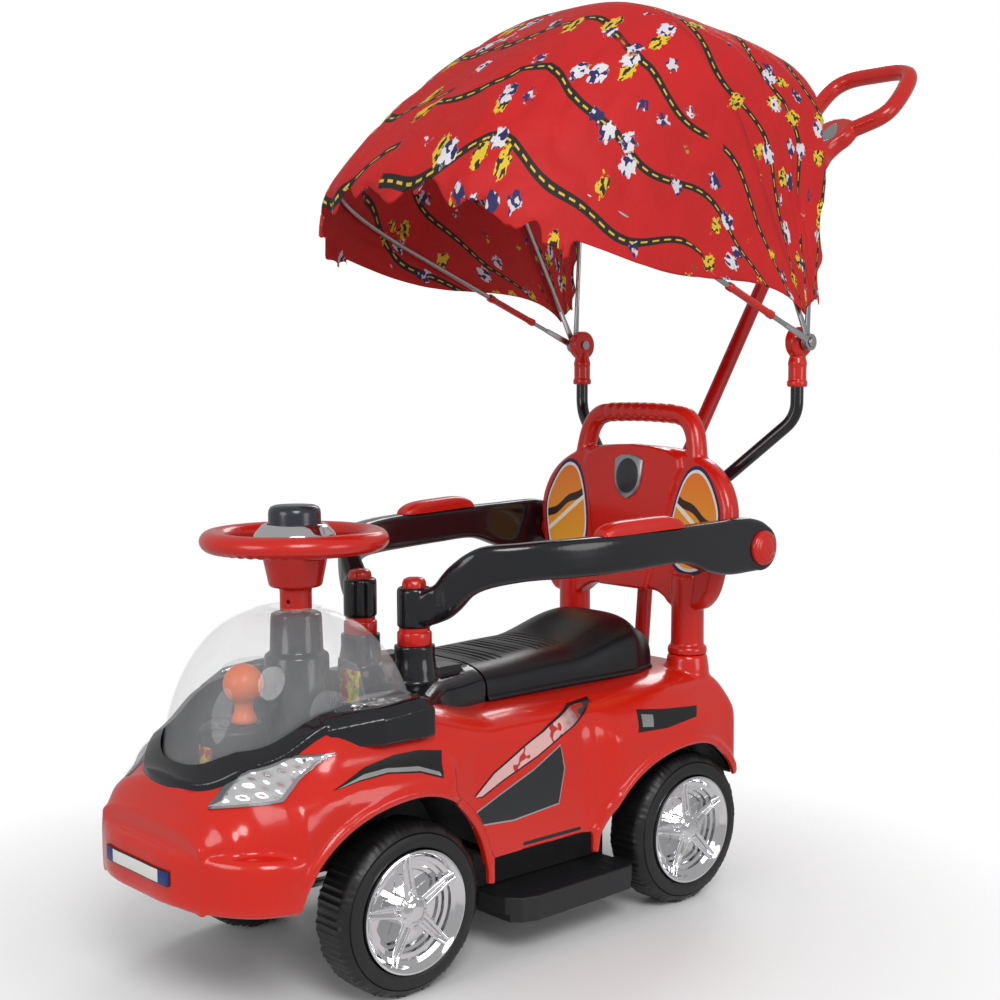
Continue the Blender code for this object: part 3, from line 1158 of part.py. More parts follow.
def guard_rail(side_name, side, black, red):
    """Curved rail with its socket, the top pad, the release button and the pivot cap."""
    px, pz = RAIL_PIVOT
    pivot = (px, side * RAIL_Y, pz)
    stations = rail_stations(side)
    rings = []
    for i, (x, y, z0, z1, w) in enumerate(stations):
        before, after = stations[max(i - 1, 0)], stations[min(i + 1, len(stations) - 1)]
        heading = Vector((after[0] - before[0], after[1] - before[1], 0)).normalized()
        across = Vector((-heading.y, heading.x, 0))
        bevel = 0.005
        section = ((w, z0 + bevel), (w, z1 - bevel), (w - bevel, z1), (-w + bevel, z1), (-w, z1 - bevel),
                   (-w, z0 + bevel), (-w + bevel, z0), (w - bevel, z0))
        rings.append([Vector((x, y, z)) + across * u for u, z in section])
    name = "guard_rail_" + side_name
    rail = part(name, loft(rings, name), black, pivot)
    low, high = sorted((side * (RAIL_Y - RAIL_WIDTH / 2), side * (RAIL_Y + RAIL_WIDTH / 2)))
    join(rail, rod((px, low, pz), (px, high, pz), RAIL_BOSS_RADIUS, "pivot_boss", 18))
    post_x, post_y = POST[0], side * POST[1]
    base = SLEEVE_TOP_Z + RUNNING_GAP
    join(rail, rod((post_x, post_y, base), (post_x, post_y, SOCKET_TOP_Z), SLEEVE_RADIUS, "socket", 14))
    cut(rail, rod((post_x, post_y, base - 0.01), (post_x, post_y, base + SPIGOT_HEIGHT + 0.004),
                  SPIGOT_RADIUS + 0.003, "spigot_bore", 10))
    cut(rail, rod((post_x, post_y, SOCKET_TOP_Z - RELEASE_TRAVEL - 0.010),
                  (post_x, post_y, SOCKET_TOP_Z + 0.02),
                  RELEASE_RADIUS + RUNNING_GAP, "button_bore", 12))
    cut(rail, rod((px, side * (RAIL_Y - 0.02), pz), (px, side * (RAIL_Y + RAIL_WIDTH / 2 - 0.008), pz),
                  RAIL_PIN_RADIUS + GAP, "pin_bore", 12))
    cut(rail, rod((px, side * (RAIL_Y + RAIL_WIDTH / 2 - 0.0065), pz), (px, side * (RAIL_Y + 0.05), pz),
                  RAIL_CAP_RADIUS + RUNNING_GAP, "cap_bore", 16))
    release = [(0, SOCKET_TOP_Z - 0.0095), (RELEASE_RADIUS, SOCKET_TOP_Z - 0.0095),
               (RELEASE_RADIUS, SOCKET_TOP_Z + 0.002),
               (RELEASE_RADIUS - 0.003, SOCKET_TOP_Z + RELEASE_PROUD - 0.002),
               (0, SOCKET_TOP_Z + RELEASE_PROUD)]
    part("rail_release_" + side_name, turned(release, "release", (post_x, post_y, 0), "z", 12), red,
         (post_x, post_y, SOCKET_TOP_Z))
    face = RAIL_Y + RAIL_WIDTH / 2
    cap = [(0, face - 0.0062 + RAIL_CAP_TRAVEL), (RAIL_CAP_RADIUS, face - 0.0062 + RAIL_CAP_TRAVEL),
           (RAIL_CAP_RADIUS, face + 0.003),
           (RAIL_CAP_RADIUS - 0.004, face + 0.006), (0, face + 0.007)]
    cap = [(r, side * a) for r, a in cap]
    part("rail_pivot_cap_" + side_name, turned(cap, "pivot_cap", (px, 0, pz), "y", 16), red,
         (px, side * face, pz))
    rail_pad(side_name, side, red)


def rail_pad(side_name, side, red):
    """Soft-edged red pad on the rail's top."""
    x0 = 0.045
    x1 = x0 + PAD_LENGTH
    top = RAIL_PIVOT[1] + 0.035
    rings = []
    for t in spread(0, 1, 5):
        x = x0 + (x1 - x0) * t
        y = side * (RAIL_Y - 0.008 * smooth(0, 1, t))
        base = top - 0.001 - 0.003 * smooth(0, 1, t) + GAP
        bulge = max(1 - abs(2 * t - 1) ** 5, 0.12)
        w = RAIL_WIDTH / 2 * (0.80 + 0.18 * bulge)
        height = PAD_HEIGHT * bulge
        section = ((w, 0), (w, height * 0.5), (w * 0.7, height), (-w * 0.7, height), (-w, height * 0.5),
                   (-w, 0))
        rings.append([(x, y + side * u, base + v) for u, v in section])
    name = "rail_pad_" + side_name
    return part(name, loft(rings, name), red)


def rail_post(side_name, side, red):
    """Front post with its sleeve and the spigot that the rail's socket drops over."""
    x, y = POST[0], side * POST[1]
    base = BOSS_TOP_Z + GAP
    top = SLEEVE_TOP_Z + SPIGOT_HEIGHT
    profile = [(0, base), (SLEEVE_RADIUS, base), (SLEEVE_RADIUS, SLEEVE_TOP_Z - 0.005),
               (SLEEVE_RADIUS - 0.002, SLEEVE_TOP_Z), (SPIGOT_RADIUS, SLEEVE_TOP_Z),
               (SPIGOT_RADIUS - 0.002, top), (0, top)]
    return part("rail_post_" + side_name, turned(profile, "rail_post", (x, y, 0), "z", 14), red)


def grip_frame():
    """Point at the pole's top and the directions along and across the leaning grip."""
    lean = math.radians(GRIP_LEAN)
    along = Vector((-math.sin(lean), 0, math.cos(lean)))
    across = Vector((math.cos(lean), 0, math.sin(lean)))
    return Vector((POLE_TOP[0], 0, POLE_TOP[1])), along, across


def push_pole(red):
    """Bent steel tube, closed at both ends, that stands in the pan's socket."""
    return part("push_pole", tube(pole_points(), POLE_RADIUS, "push_pole", 12), red)


def push_handle(red):
    """Neck with two lobes and the closed grip loop."""
    top, along, across = grip_frame()
    half = GRIP_HALF_WIDTH - GRIP_TUBE
    neck = GRIP_NECK_LENGTH
    reach = (top.x - HANDLE_REAR_X - GRIP_TUBE) / math.sin(math.radians(GRIP_LEAN))
    loop = []
    for y, z in ((0, neck), (half * 0.55, neck + 0.012), (half, neck + 0.038), (half, reach - 0.030),
                 (half * 0.70, reach - 0.004), (0, reach), (-half * 0.70, reach - 0.004),
                 (-half, reach - 0.030), (-half, neck + 0.038), (-half * 0.55, neck + 0.012)):
        loop.append(top + along * z + Vector((0, y, 0)))
    handle = part("push_handle", tube(closed_curve(loop, 2), GRIP_TUBE, "push_handle", 8, closed=True), red)
    outline = [(0.012, -0.030), (0.015, 0.0), (0.014, 0.024), (0.028, neck - 0.016), (0.030, neck + 0.006),
               (0.016, neck + 0.016)]
    outline += [(-y, z) for y, z in reversed(outline)]
    rings = []
    for depth, scale in ((-GRIP_TUBE, 0.90), (0, 1.0), (GRIP_TUBE, 0.90)):
        rings.append([top + along * z + across * depth + Vector((0, y * scale, 0)) for y, z in outline])
    join(handle, loft(rings, "grip_neck"))
    pole = [Vector(p) for p in pole_points()]
    heading = (pole[-1] - pole[-2]).normalized()
    join(handle, tube([pole[-1] - heading * 0.040, pole[-1] + heading * 0.01], POLE_RADIUS + 0.0035,
                      "sleeve", 12))
    cut(handle, tube([pole[-1] - heading * 0.06, pole[-1] + heading * GAP], POLE_RADIUS + GAP, "pole_bore",
                     12))
    return handle


def closed_curve(points, steps):
    """Smooth closed curve through the points."""
    count = len(points)
    curve = []
    for i in range(count):
        before, here, there, after = (points[(i + k) % count] for k in (-1, 0, 1, 2))
        for step in range(steps):
            t = step / steps
            curve.append(0.5 * (2 * here + (there - before) * t
                                + (2 * before - 5 * here + 4 * there - after) * t * t
                                + (3 * here - before - 3 * there + after) * t ** 3))
    return curve


def bow_point(bow, side, height):
    """Place on a bow: side from -1 to 1 across the car, height from its hub to its crown."""
    angle, length = bow
    lean = math.radians(angle)
    return Vector((HOOD_PIVOT[0] + math.cos(lean) * height * length, side,
                   HOOD_PIVOT[1] + math.sin(lean) * height * length))


def hood_section(w):
    """Share of the half-width and of the height at w, from 0 at the crown to 1 at the hub."""
    if w >= 2 / 3:
        return 1.0, 1.5 * (1 - w)
    angle = math.pi * 0.75 * w
    return math.sin(angle) ** BOW_SHAPE, 0.5 + 0.5 * abs(math.cos(angle)) ** BOW_SHAPE


def bow_path(shape, half):
    """Centre line of a bow from its left arm over the crown to its right arm."""
    points = []
    for w in (1 - ARM_REACH / shape[1] * 2 / 3, 2 / 3, 0.58, 0.47, 0.36, 0.25, 0.13, 0.04):
        across, height = hood_section(w)
        points.append(bow_point(shape, half * across, height))
    return points + [Vector((p.x, -p.y, p.z)) for p in reversed(points)]


def hub_place(layer):
    """Near and far face of one flat hub in the stack on the clamp."""
    start = TUBE_Y + CLAMP_RADIUS + GAP
    return start + layer * (HUB_THICK + RUNNING_GAP), start + layer * (HUB_THICK + RUNNING_GAP) + HUB_THICK


def bow(name, shape, layer, steel):
    """Hood bow: a rod with a flat arm and eye at each end that turns on the hood bolt."""
    px, pz = HOOD_PIVOT
    near, far = hub_place(layer)
    item = part(name, tube(bow_path(shape, (near + far) / 2), BOW_RADIUS, name, 5), steel, (px, 0, pz))
    lean = math.radians(shape[0])
    heading = Vector((math.cos(lean), 0, math.sin(lean)))
    upright = Vector((-math.sin(lean), 0, math.cos(lean)))
    eye = arc((0, 0), HUB_RADIUS, 50, 310, 8)
    outline = eye + [(ARM_REACH + 0.006, -0.0030), (ARM_REACH + 0.006, 0.0030)]
    for side in (1, -1):
        low, high = sorted((side * near, side * far))
        arm = loft([[Vector((px, y, pz)) + heading * u + upright * v for u, v in outline]
                    for y in (low, high)], "bow_arm")
        join(item, arm)
        cut(item, rod((px, low - 0.02, pz), (px, high + 0.02, pz), BOLT_RADIUS + GAP, "bow_bore", 8))
    return item


def bow_holder(side_name, side, red):
    """Red sleeve on the front bow's lower end."""
    near, far = hub_place(2)
    lean = math.radians(FRONT_BOW[0])
    heading = Vector((math.cos(lean), 0, math.sin(lean)))
    start = Vector((HOOD_PIVOT[0], side * (near + far) / 2, HOOD_PIVOT[1])) + heading * HOLDER_START
    end = start + heading * HOLDER_LENGTH
    name = "bow_holder_" + side_name
    holder = part(name, tube([start, end], HOLDER_RADIUS, name, 8), red)
    return cut(holder, bore(start - heading * 0.01, end + heading * 0.01, BOW_RADIUS + GAP, "holder_bore",
                            8))


def canopy_tube(side_name, side, black):
    """Tube from the backrest's socket out and up to the hood clamp."""
    x, z = HOOD_PIVOT
    y0, z0 = TUBE_SOCKET
    socket_x = BACK_FRONT_X - BACK_THICK - (z0 - BACK_BOTTOM_Z) * BACK_LEAN
    points = [(socket_x + 0.008, side * y0, z0), (socket_x - 0.030, side * y0, z0),
              (x, side * TUBE_Y, TUBE_LOW_Z), (x, side * TUBE_Y, z - CLAMP_DISC_RADIUS - 0.006)]
    name = "canopy_tube_" + side_name
    return part(name, tube(bend_path(points, 0.040, 4), TUBE_RADIUS, name, 10), black)


def canopy_clamp(side_name, side, red):
    """Clamp on the tube's top with the disc that the bows turn on."""
    x, z = HOOD_PIVOT
    y = side * TUBE_Y
    top = z - CLAMP_DISC_RADIUS - 0.006
    half = CLAMP_DISC_THICK / 2
    name = "canopy_clamp_" + side_name
    sleeve = [(0, top - 0.028), (CLAMP_RADIUS, top - 0.028), (CLAMP_RADIUS, top + 0.002), (half, z - 0.008),
              (0, z - 0.008)]
    clamp = part(name, turned(sleeve, name, (x, y, 0), "z", 10), red)
    face = CLAMP_RADIUS
    disc = [(0, TUBE_Y - half), (CLAMP_DISC_RADIUS, TUBE_Y - half), (CLAMP_DISC_RADIUS, TUBE_Y + half),
            (CLAMP_DISC_RADIUS - 0.004, TUBE_Y + face), (0, TUBE_Y + face)]
    join(clamp, turned([(r, side * a) for r, a in disc], "clamp_disc", (x, 0, z), "y", 16))
    cut(clamp, bore((x, y, top - 0.04), (x, y, top + GAP), TUBE_RADIUS + GAP, "tube_socket", 10))
    low, high = sorted((side * (TUBE_Y - 0.02), side * (TUBE_Y + 0.03)))
    cut(clamp, rod((x, low, z), (x, high, z), BOLT_RADIUS + GAP, "bolt_bore", 8))
    return clamp


def hood_bolt(side_name, side, steel):
    """Bolt through the clamp and the three bow hubs."""
    x, z = HOOD_PIVOT
    inside = TUBE_Y - CLAMP_DISC_THICK / 2 - GAP
    outside = hub_place(2)[1] + RUNNING_GAP
    profile = [(0, inside - 0.003), (BOLT_RADIUS * 2, inside - 0.003), (BOLT_RADIUS * 2, inside),
               (BOLT_RADIUS, inside), (BOLT_RADIUS, outside), (BOLT_RADIUS * 2, outside),
               (BOLT_RADIUS * 1.6, outside + 0.003), (0, outside + 0.003)]
    name = "hood_bolt_" + side_name
    return part(name, turned([(r, side * a) for r, a in profile], name, (x, 0, z), "y", 10), steel)


def hood_reach(height):
    """How far down its section the cloth goes to end at a share of the height."""
    if height < 0.5:
        return 1 - height / 1.5
    return math.acos((2 * height - 1) ** (1 / BOW_SHAPE)) / (math.pi * 0.75)


def hood_cloth(name, red, start, end, side, side_low, columns, gather, hem):
    """Cloth from one bow to the next edge, closed all round; it sags between and gathers at its edge."""
    half = hub_place(2)[1] - HUB_THICK / 2 + HOLDER_RADIUS + CLOTH_GAP + CLOTH_THICK / 2
    stand = BOW_RADIUS + CLOTH_GAP + CLOTH_THICK / 2
    rows = []
    on_bow = 1 - hem / abs(end[0] - start[0])
    for t in spread(0, on_bow, HOOD_ROWS - 1) + [1.0]:
        length = start[1] + (end[1] - start[1]) * t + stand
        low = side_low[0] + (side_low[1] - side_low[0]) * t
        reach = hood_reach(low / length)
        row = []
        for u in spread(-1, 1, columns):
            across, height = hood_section(abs(u) * reach)
            wave = gather * t ** 4 * (1 + math.cos(2 * math.pi * HOOD_GATHERS * u))
            crown = start[0] + (end[0] - start[0]) * t
            lower = start[0] + (side[0] - start[0]) * (1 - (1 - t) ** side[1])
            lean = crown + (lower - crown) * abs(u) ** 1.5
            share = min(max((lean - start[0]) / (end[0] - start[0]), t), 1.0)
            length = start[1] + (end[1] - start[1]) * share + stand
            slack = math.sin(math.pi * min(share / on_bow, 1)) * HOOD_SAG * height ** 2
            radius = height * (length - slack + wave * 0.5)
            y = half * across * (1 if u >= 0 else -1)
            lean = math.radians(lean)
            row.append(Vector((HOOD_PIVOT[0] + math.cos(lean) * radius, y,
                               HOOD_PIVOT[1] + math.sin(lean) * radius)))
        rows.append(row)
    lean = math.radians(start[0])
    shift = Vector((-math.sin(lean), 0, math.cos(lean))) * (GAP if end[0] > start[0] else -GAP)
    rows[0] = [point + shift for point in rows[0]]
    vertices = [point for row in rows for point in row]
    faces = []
    for i in range(HOOD_ROWS - 1):
        for j in range(columns - 1):
            k = i * columns + j
            faces.append((k, k + 1, k + columns + 1, k + columns))
    mesh = bpy.data.meshes.new(name)
    mesh.from_pydata([tuple(v) for v in vertices], [], faces)
    item = part(name, mesh, red, (HOOD_PIVOT[0], 0, HOOD_PIVOT[1]))
    thick = item.modifiers.new("cloth_thickness", "SOLIDIFY")
    thick.thickness = CLOTH_THICK
    thick.offset = 0
    return item


def hood(red):
    """Both parts of the hood cloth, which meet over the middle bow."""
    hood_cloth("hood_front", red, MID_BOW, (FRONT_BOW[0] - HOOD_HEM, FRONT_BOW[1]), (14.5, 4),
               (HOOD_SIDE_LOW, 0.390), 25, 0.004, HOOD_HEM)
    hood_cloth("hood_rear", red, MID_BOW, (REAR_BOW[0] + HOOD_HEM, REAR_BOW[1]), (91.5, 1),
               (HOOD_SIDE_LOW, 0.050), 17, 0.0, HOOD_HEM)


def sound_box(dark):
    """Closed sound box that hangs below the dash floor."""
    low = (SOUND_X[0], -SOUND_HALF_WIDTH, FLOOR_Z - GAP - SOUND_HEIGHT)
    return part("sound_box", box(low, (SOUND_X[1], SOUND_HALF_WIDTH, FLOOR_Z - GAP), "sound_box"), dark)


def main():
    """Build the whole car under one empty."""
    red = make_material("red_plastic", (0.65, 0.045, 0.03), 0.25)
    black = make_material("black_plastic", (0.02, 0.02, 0.025), 0.35)
    rubber = make_material("tyre_black", (0.015, 0.015, 0.016), 0.5)
    chrome = make_material("chrome", (0.85, 0.85, 0.85), 0.08, 1.0)
    steel = make_material("steel", (0.6, 0.6, 0.62), 0.35, 1.0)
    clear = make_material("clear_plastic", (0.9, 0.92, 0.95), 0.05, 0.0, 0.3)
    white = make_material("white_plastic", (0.8, 0.8, 0.8), 0.4)
    orange = make_material("orange_plastic", (0.85, 0.25, 0.05), 0.4)
    body_shell(red)
    underbody_pan(black)
    dash_trim(black)
    dome(clear)
    number_plate(white)
    toy(black, orange)
    sound_box(black)
    seat_lid(black, steel)
    storage_bin(black)
    backrest(red)
    push_pole(red)
    push_handle(red)
    for layer, name, shape in ((0, "bow_rear", REAR_BOW), (1, "bow_mid", MID_BOW),
                               (2, "bow_front", FRONT_BOW)):
        bow(name, shape, layer, steel)
    hood(red)
    for side_name, side in SIDES:
        guard_rail(side_name, side, black, red)
        rail_post(side_name, side, red)
        canopy_tube(side_name, side, black)
        canopy_clamp(side_name, side, red)
        bow_holder(side_name, side, red)
        hood_bolt(side_name, side, steel)
        footrest(side_name, side, black)
        knuckle(side_name, side, steel)
        indicator(side_name, side, clear)
        headlight(side_name, side, clear)
    wheels(rubber, chrome)
    rear_axle(steel)
    tie_rod(steel)
    steering_shaft(steel)
    steering_wheel(red)
    steering_trim(chrome)
    horn(black, steel)


clear_scene()
CAR = bpy.data.objects.new("car", None)
bpy.context.scene.collection.objects.link(CAR)
CAR.location = (CENTRE_SHIFT, 0, 0)
main()
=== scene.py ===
"""Dressed ride-on car: smooth pieces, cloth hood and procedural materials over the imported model."""
import json
import math

import bmesh
import bpy
from mathutils import Matrix, Vector, noise

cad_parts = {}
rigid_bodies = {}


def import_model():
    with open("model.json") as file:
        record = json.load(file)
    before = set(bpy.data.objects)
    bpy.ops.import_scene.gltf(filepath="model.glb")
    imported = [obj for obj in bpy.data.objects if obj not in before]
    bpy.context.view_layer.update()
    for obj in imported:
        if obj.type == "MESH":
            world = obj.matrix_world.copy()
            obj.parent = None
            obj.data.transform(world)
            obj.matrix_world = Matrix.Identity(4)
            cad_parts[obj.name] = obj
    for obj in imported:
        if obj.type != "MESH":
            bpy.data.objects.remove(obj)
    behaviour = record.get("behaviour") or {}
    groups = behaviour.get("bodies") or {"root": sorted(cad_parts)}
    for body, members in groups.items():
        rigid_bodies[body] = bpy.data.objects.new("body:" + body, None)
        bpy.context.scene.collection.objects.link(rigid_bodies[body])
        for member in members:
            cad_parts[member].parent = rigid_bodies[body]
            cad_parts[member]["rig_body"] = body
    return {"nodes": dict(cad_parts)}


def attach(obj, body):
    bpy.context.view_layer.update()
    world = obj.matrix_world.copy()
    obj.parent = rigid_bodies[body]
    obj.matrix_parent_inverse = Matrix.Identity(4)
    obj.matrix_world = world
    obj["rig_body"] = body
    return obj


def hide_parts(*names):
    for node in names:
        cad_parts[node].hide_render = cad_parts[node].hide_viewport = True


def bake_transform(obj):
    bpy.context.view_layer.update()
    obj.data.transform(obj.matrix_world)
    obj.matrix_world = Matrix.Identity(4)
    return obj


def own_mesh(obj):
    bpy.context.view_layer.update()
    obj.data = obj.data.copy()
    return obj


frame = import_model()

bl_info = {
    "name": "Ride-on car dresser",
    "version": (1, 0, 0),
    "blender": (4, 5, 0),
    "location": "View3D > Sidebar > Ride-on car",
    "description": "Builds the smooth pieces, the hood cloth and the materials of a foot-to-floor car",
    "category": "Object",
}

SHIFT = -0.0235
WELD = 0.00002
SIDES = (("left", 1), ("right", -1))
NODES = frame["nodes"]
MATERIALS = {}


class Sock:
    """Output socket that takes part in arithmetic and builds Math nodes."""

    def __init__(self, tree, socket):
        self.tree = tree
        self.socket = socket

    def math(self, operation, *others):
        """Math node on this value and the others."""
        return self.tree.node("Math", {"operation": operation}, [self, *others])

    def __add__(self, other):
        return self.math("ADD", other)

    def __radd__(self, other):
        return self.math("ADD", other)

    def __sub__(self, other):
        return self.math("SUBTRACT", other)

    def __rsub__(self, other):
        return self.tree.node("Math", {"operation": "SUBTRACT"}, [other, self])

    def __mul__(self, other):
        return self.math("MULTIPLY", other)

    def __rmul__(self, other):
        return self.math("MULTIPLY", other)

    def __truediv__(self, other):
        return self.math("DIVIDE", other)

    def __abs__(self):
        return self.math("ABSOLUTE")

    def __pow__(self, other):
        return self.math("POWER", other)

    def below(self, other, soft=0.0004):
        """1 where the value is under the other, with a soft edge."""
        return ((other - self) / soft + 0.5).clamp()

    def above(self, other, soft=0.0004):
        """1 where the value is over the other, with a soft edge."""
        return ((self - other) / soft + 0.5).clamp()

    def clamp(self):
        """The value kept between 0 and 1."""
        return self.tree.node("Clamp", {}, [self])

    def most(self, other):
        """The larger of two values."""
        return self.math("MAXIMUM", other)

    def sin(self):
        """Sine of the value in radians."""
        return self.math("SINE")

    def fraction(self):
        """The value less its whole part."""
        return self.math("FRACT")


class Tree:
    """Node tree of one material, with one method that adds any node."""

    def __init__(self, name):
        self.material = bpy.data.materials.new(name)
        self.material.use_nodes = True
        self.nodes = self.material.node_tree.nodes
        self.links = self.material.node_tree.links
        self.shader = next(n for n in self.nodes if n.type == "BSDF_PRINCIPLED")
        self.output = next(n for n in self.nodes if n.type == "OUTPUT_MATERIAL")
        MATERIALS[name] = self.material

    def node(self, kind, settings=None, values=(), output=0):
        """Add a node, set its properties and feed its sockets by place or by name."""
        item = self.nodes.new("ShaderNode" + kind)
        for key, value in (settings or {}).items():
            setattr(item, key, value)
        pairs = values.items() if isinstance(values, dict) else enumerate(values)
        for key, value in pairs:
            self.feed(item.inputs[key], value)
        return Sock(self, item.outputs[output])

    def feed(self, socket, value):
        """Link a socket, or set its value; None leaves it as it is."""
        if isinstance(value, Sock):
            self.links.new(value.socket, socket)
        elif value is not None:
            socket.default_value = value

    def set(self, **values):
        """Feed the main shader's sockets; underscores stand for spaces."""
        for key, value in values.items():
            self.feed(self.shader.inputs[key.replace("_", " ")], value)
        return self

    def position(self):
        """The three object coordinates in metres, with X counted from the rear axle."""
        place = self.node("TexCoord", output=3)
        split = self.node("SeparateXYZ", {}, [place]).socket.node
        x, y, z = (Sock(self, split.outputs[i]) for i in range(3))
        return x - SHIFT, y, z

    def noise(self, scale, detail=2.0, rough=0.5, distortion=0.0, vector=None):
        """Cloudy value over the object's own coordinates, or over another vector."""
        place = vector or self.node("TexCoord", output=3)
        return self.node("TexNoise", {}, {"Vector": place, "Scale": scale, "Detail": detail,
                                          "Roughness": rough, "Distortion": distortion})

    def join(self, x, y, z):
        """Vector from three values."""
        return self.node("CombineXYZ", {}, [x, y, z])

    def mix(self, factor, first, second):
        """Blend two colours."""
        item = self.nodes.new("ShaderNodeMix")
        item.data_type = "RGBA"
        for socket, value in ((item.inputs[0], factor), (item.inputs[6], first), (item.inputs[7], second)):
            self.feed(socket, rgba(value) if isinstance(value, (tuple, str)) else value)
        return Sock(self, item.outputs[2])

    def bump(self, height, distance=0.001, strength=1.0):
        """Normal bent by a height."""
        return self.node("Bump", {}, {"Height": height, "Distance": distance, "Strength": strength})


def rgba(colour):
    """Linear colour with alpha from display values, or from a tuple already linear."""
    if isinstance(colour, str):
        parts = [int(colour[i:i + 2], 16) / 255 for i in (0, 2, 4)]
        colour = [c / 12.92 if c <= 0.04045 else ((c + 0.055) / 1.055) ** 2.4 for c in parts]
    return (*colour[:3], 1.0)


def plastic(name, colour, rough, grain=0.00002, tint=0.06, coat=0.0):
    """Moulded plastic: slight colour drift, flow waviness and fine surface grain."""
    tree = Tree(name)
    drift = tree.noise(9.0, 3.0)
    dark = tuple(c * (1 - tint) for c in rgba(colour)[:3])
    pale = tuple(min(c * (1 + tint) + 0.002, 1) for c in rgba(colour)[:3])
    scratch = tree.noise(420.0, 2.0)
    tree.set(Base_Color=tree.mix(drift, dark, pale), Roughness=rough + (scratch - 0.5) * rough * 0.35,
             Normal=tree.bump(tree.noise(60.0, 2.0) * 0.6 + scratch * 0.4, grain))
    if coat:
        tree.shader.inputs["Coat Weight"].default_value = coat
        tree.shader.inputs["Coat Roughness"].default_value = 0.04
    return tree


def metal(name, colour, rough, grain=0.000006):
    """Bright metal with a faint cloud in its shine."""
    tree = Tree(name)
    cloud = tree.noise(35.0, 3.0)
    tree.set(Base_Color=tree.mix(cloud, tuple(c * 0.94 for c in rgba(colour)[:3]), colour), Metallic=1.0,
             Roughness=rough * 0.75 + cloud * rough * 0.5, Normal=tree.bump(tree.noise(180.0), grain))
    return tree


def clear_plastic(name, colour, rough, alpha=0.22):
    """Thin clear plastic: mostly see-through with a haze and gleams."""
    tree = Tree(name)
    haze = tree.noise(14.0, 3.0)
    tree.set(Base_Color=tree.mix(haze, colour, "FFFFFF"), Roughness=rough + haze * 0.02,
             Alpha=(haze - 0.5) * 0.12 + alpha)
    tree.shader.inputs["Coat Weight"].default_value = 1.0
    tree.shader.inputs["Specular IOR Level"].default_value = 1.0
    return tree


def smoothstep(low, high, value):
    """Smooth rise from 0 to 1 between two values."""
    t = min(max((value - low) / (high - low), 0.0), 1.0)
    return t * t * (3 - 2 * t)


def interpolate(pairs, x):
    """Smooth curve through (place, value) pairs."""
    if x <= pairs[0][0]:
        return pairs[0][1]
    for (a, va), (b, vb) in zip(pairs, pairs[1:]):
        if x <= b:
            return va + (vb - va) * smoothstep(a, b, x)
    return pairs[-1][1]


def spread(low, high, count):
    """Evenly spaced values with both ends."""
    return [low + (high - low) * i / (count - 1) for i in range(count)]


def link(name, data):
    """New object in the scene."""
    item = bpy.data.objects.new(name, data)
    bpy.context.scene.collection.objects.link(item)
    return item


def in_frame(points):
    """Points counted from the rear axle, moved to the frame's own count."""
    return [tuple(Vector(p) + Vector((SHIFT, 0, 0))) for p in points]


def new_mesh(name, vertices, faces, weld=0.0):
    """Mesh in the frame's place with its faces turned outward."""
    mesh = bpy.data.meshes.new(name)
    mesh.from_pydata(in_frame(vertices), [], faces)
    if weld:
        mesh.validate()
    bm = bmesh.new()
    bm.from_mesh(mesh)
    if weld:
        bmesh.ops.remove_doubles(bm, verts=bm.verts, dist=weld)
    bmesh.ops.recalc_face_normals(bm, faces=bm.faces)
    bm.to_mesh(mesh)
    bm.free()
    return mesh


def new_object(name, vertices, faces, material, body, slot=None):
    """Mesh piece that rides on a body and takes one material."""
    item = link(name, new_mesh(name, vertices, faces, WELD))
    item.data.materials.append(MATERIALS[material])
    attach(item, body)
    return item


def modify(item, kind, **settings):
    """Add a modifier with its settings."""
    modifier = item.modifiers.new(kind.lower(), kind)
    for key, value in settings.items():
        setattr(modifier, key, value)


def apply_modifiers(item):
    """Bake the modifiers into the mesh."""
    graph = bpy.context.evaluated_depsgraph_get()
    mesh = bpy.data.meshes.new_from_object(item.evaluated_get(graph))
    materials = list(item.data.materials)
    item.modifiers.clear()
    item.data = mesh
    if not mesh.materials:
        for material in materials:
            mesh.materials.append(material)


def soften(item, width=0.0008, segments=2, angle=35.0, shade=40.0):
    """Round the sharp edges a little and shade the rest smooth."""
    if width:
        modify(item, "BEVEL", width=width, segments=segments, limit_method="ANGLE",
               angle_limit=math.radians(angle), use_clamp_overlap=True)
        apply_modifiers(item)
    item.data.shade_smooth()
    item.data.set_sharp_from_angle(angle=math.radians(shade))


def loft(rings, closed=False, caps=True):
    """Vertices and faces that skin rings of equal count."""
    count = len(rings[0])
    vertices = [p for ring in rings for p in ring]
    faces = []
    for i in range(len(rings) if closed else len(rings) - 1):
        here, there = i * count, (i + 1) % len(rings) * count
        for j in range(count):
            k = (j + 1) % count
            faces.append((here + j, here + k, there + k, there + j))
    if caps and not closed:
        faces.append(tuple(range(count)))
        faces.append(tuple(range((len(rings) - 1) * count, len(rings) * count)))
    return vertices, faces


def turned(profile, centre, axis, segments, side=1):
    """Turn (radius, along) points about an axis; side -1 turns the shape over to the right."""
    place = {"z": lambda r, a, t: (r * math.cos(t), r * math.sin(t), a),
             "y": lambda r, a, t: (r * math.sin(t), a, r * math.cos(t)),
             "x": lambda r, a, t: (a, r * math.cos(t), r * math.sin(t))}[axis]
    centre = Vector(centre)
    rings = [[centre + Vector(place(max(r, 1e-5), side * a, 2 * math.pi * i / segments))
              for i in range(segments)]
             for r, a in profile]
    return loft(rings)


def rod(radius, low, high, centre, axis, segments, side=1):
    """Plain round rod between two places on its axis."""
    return turned([(0, low), (radius, low), (radius, high), (0, high)], centre, axis, segments, side)


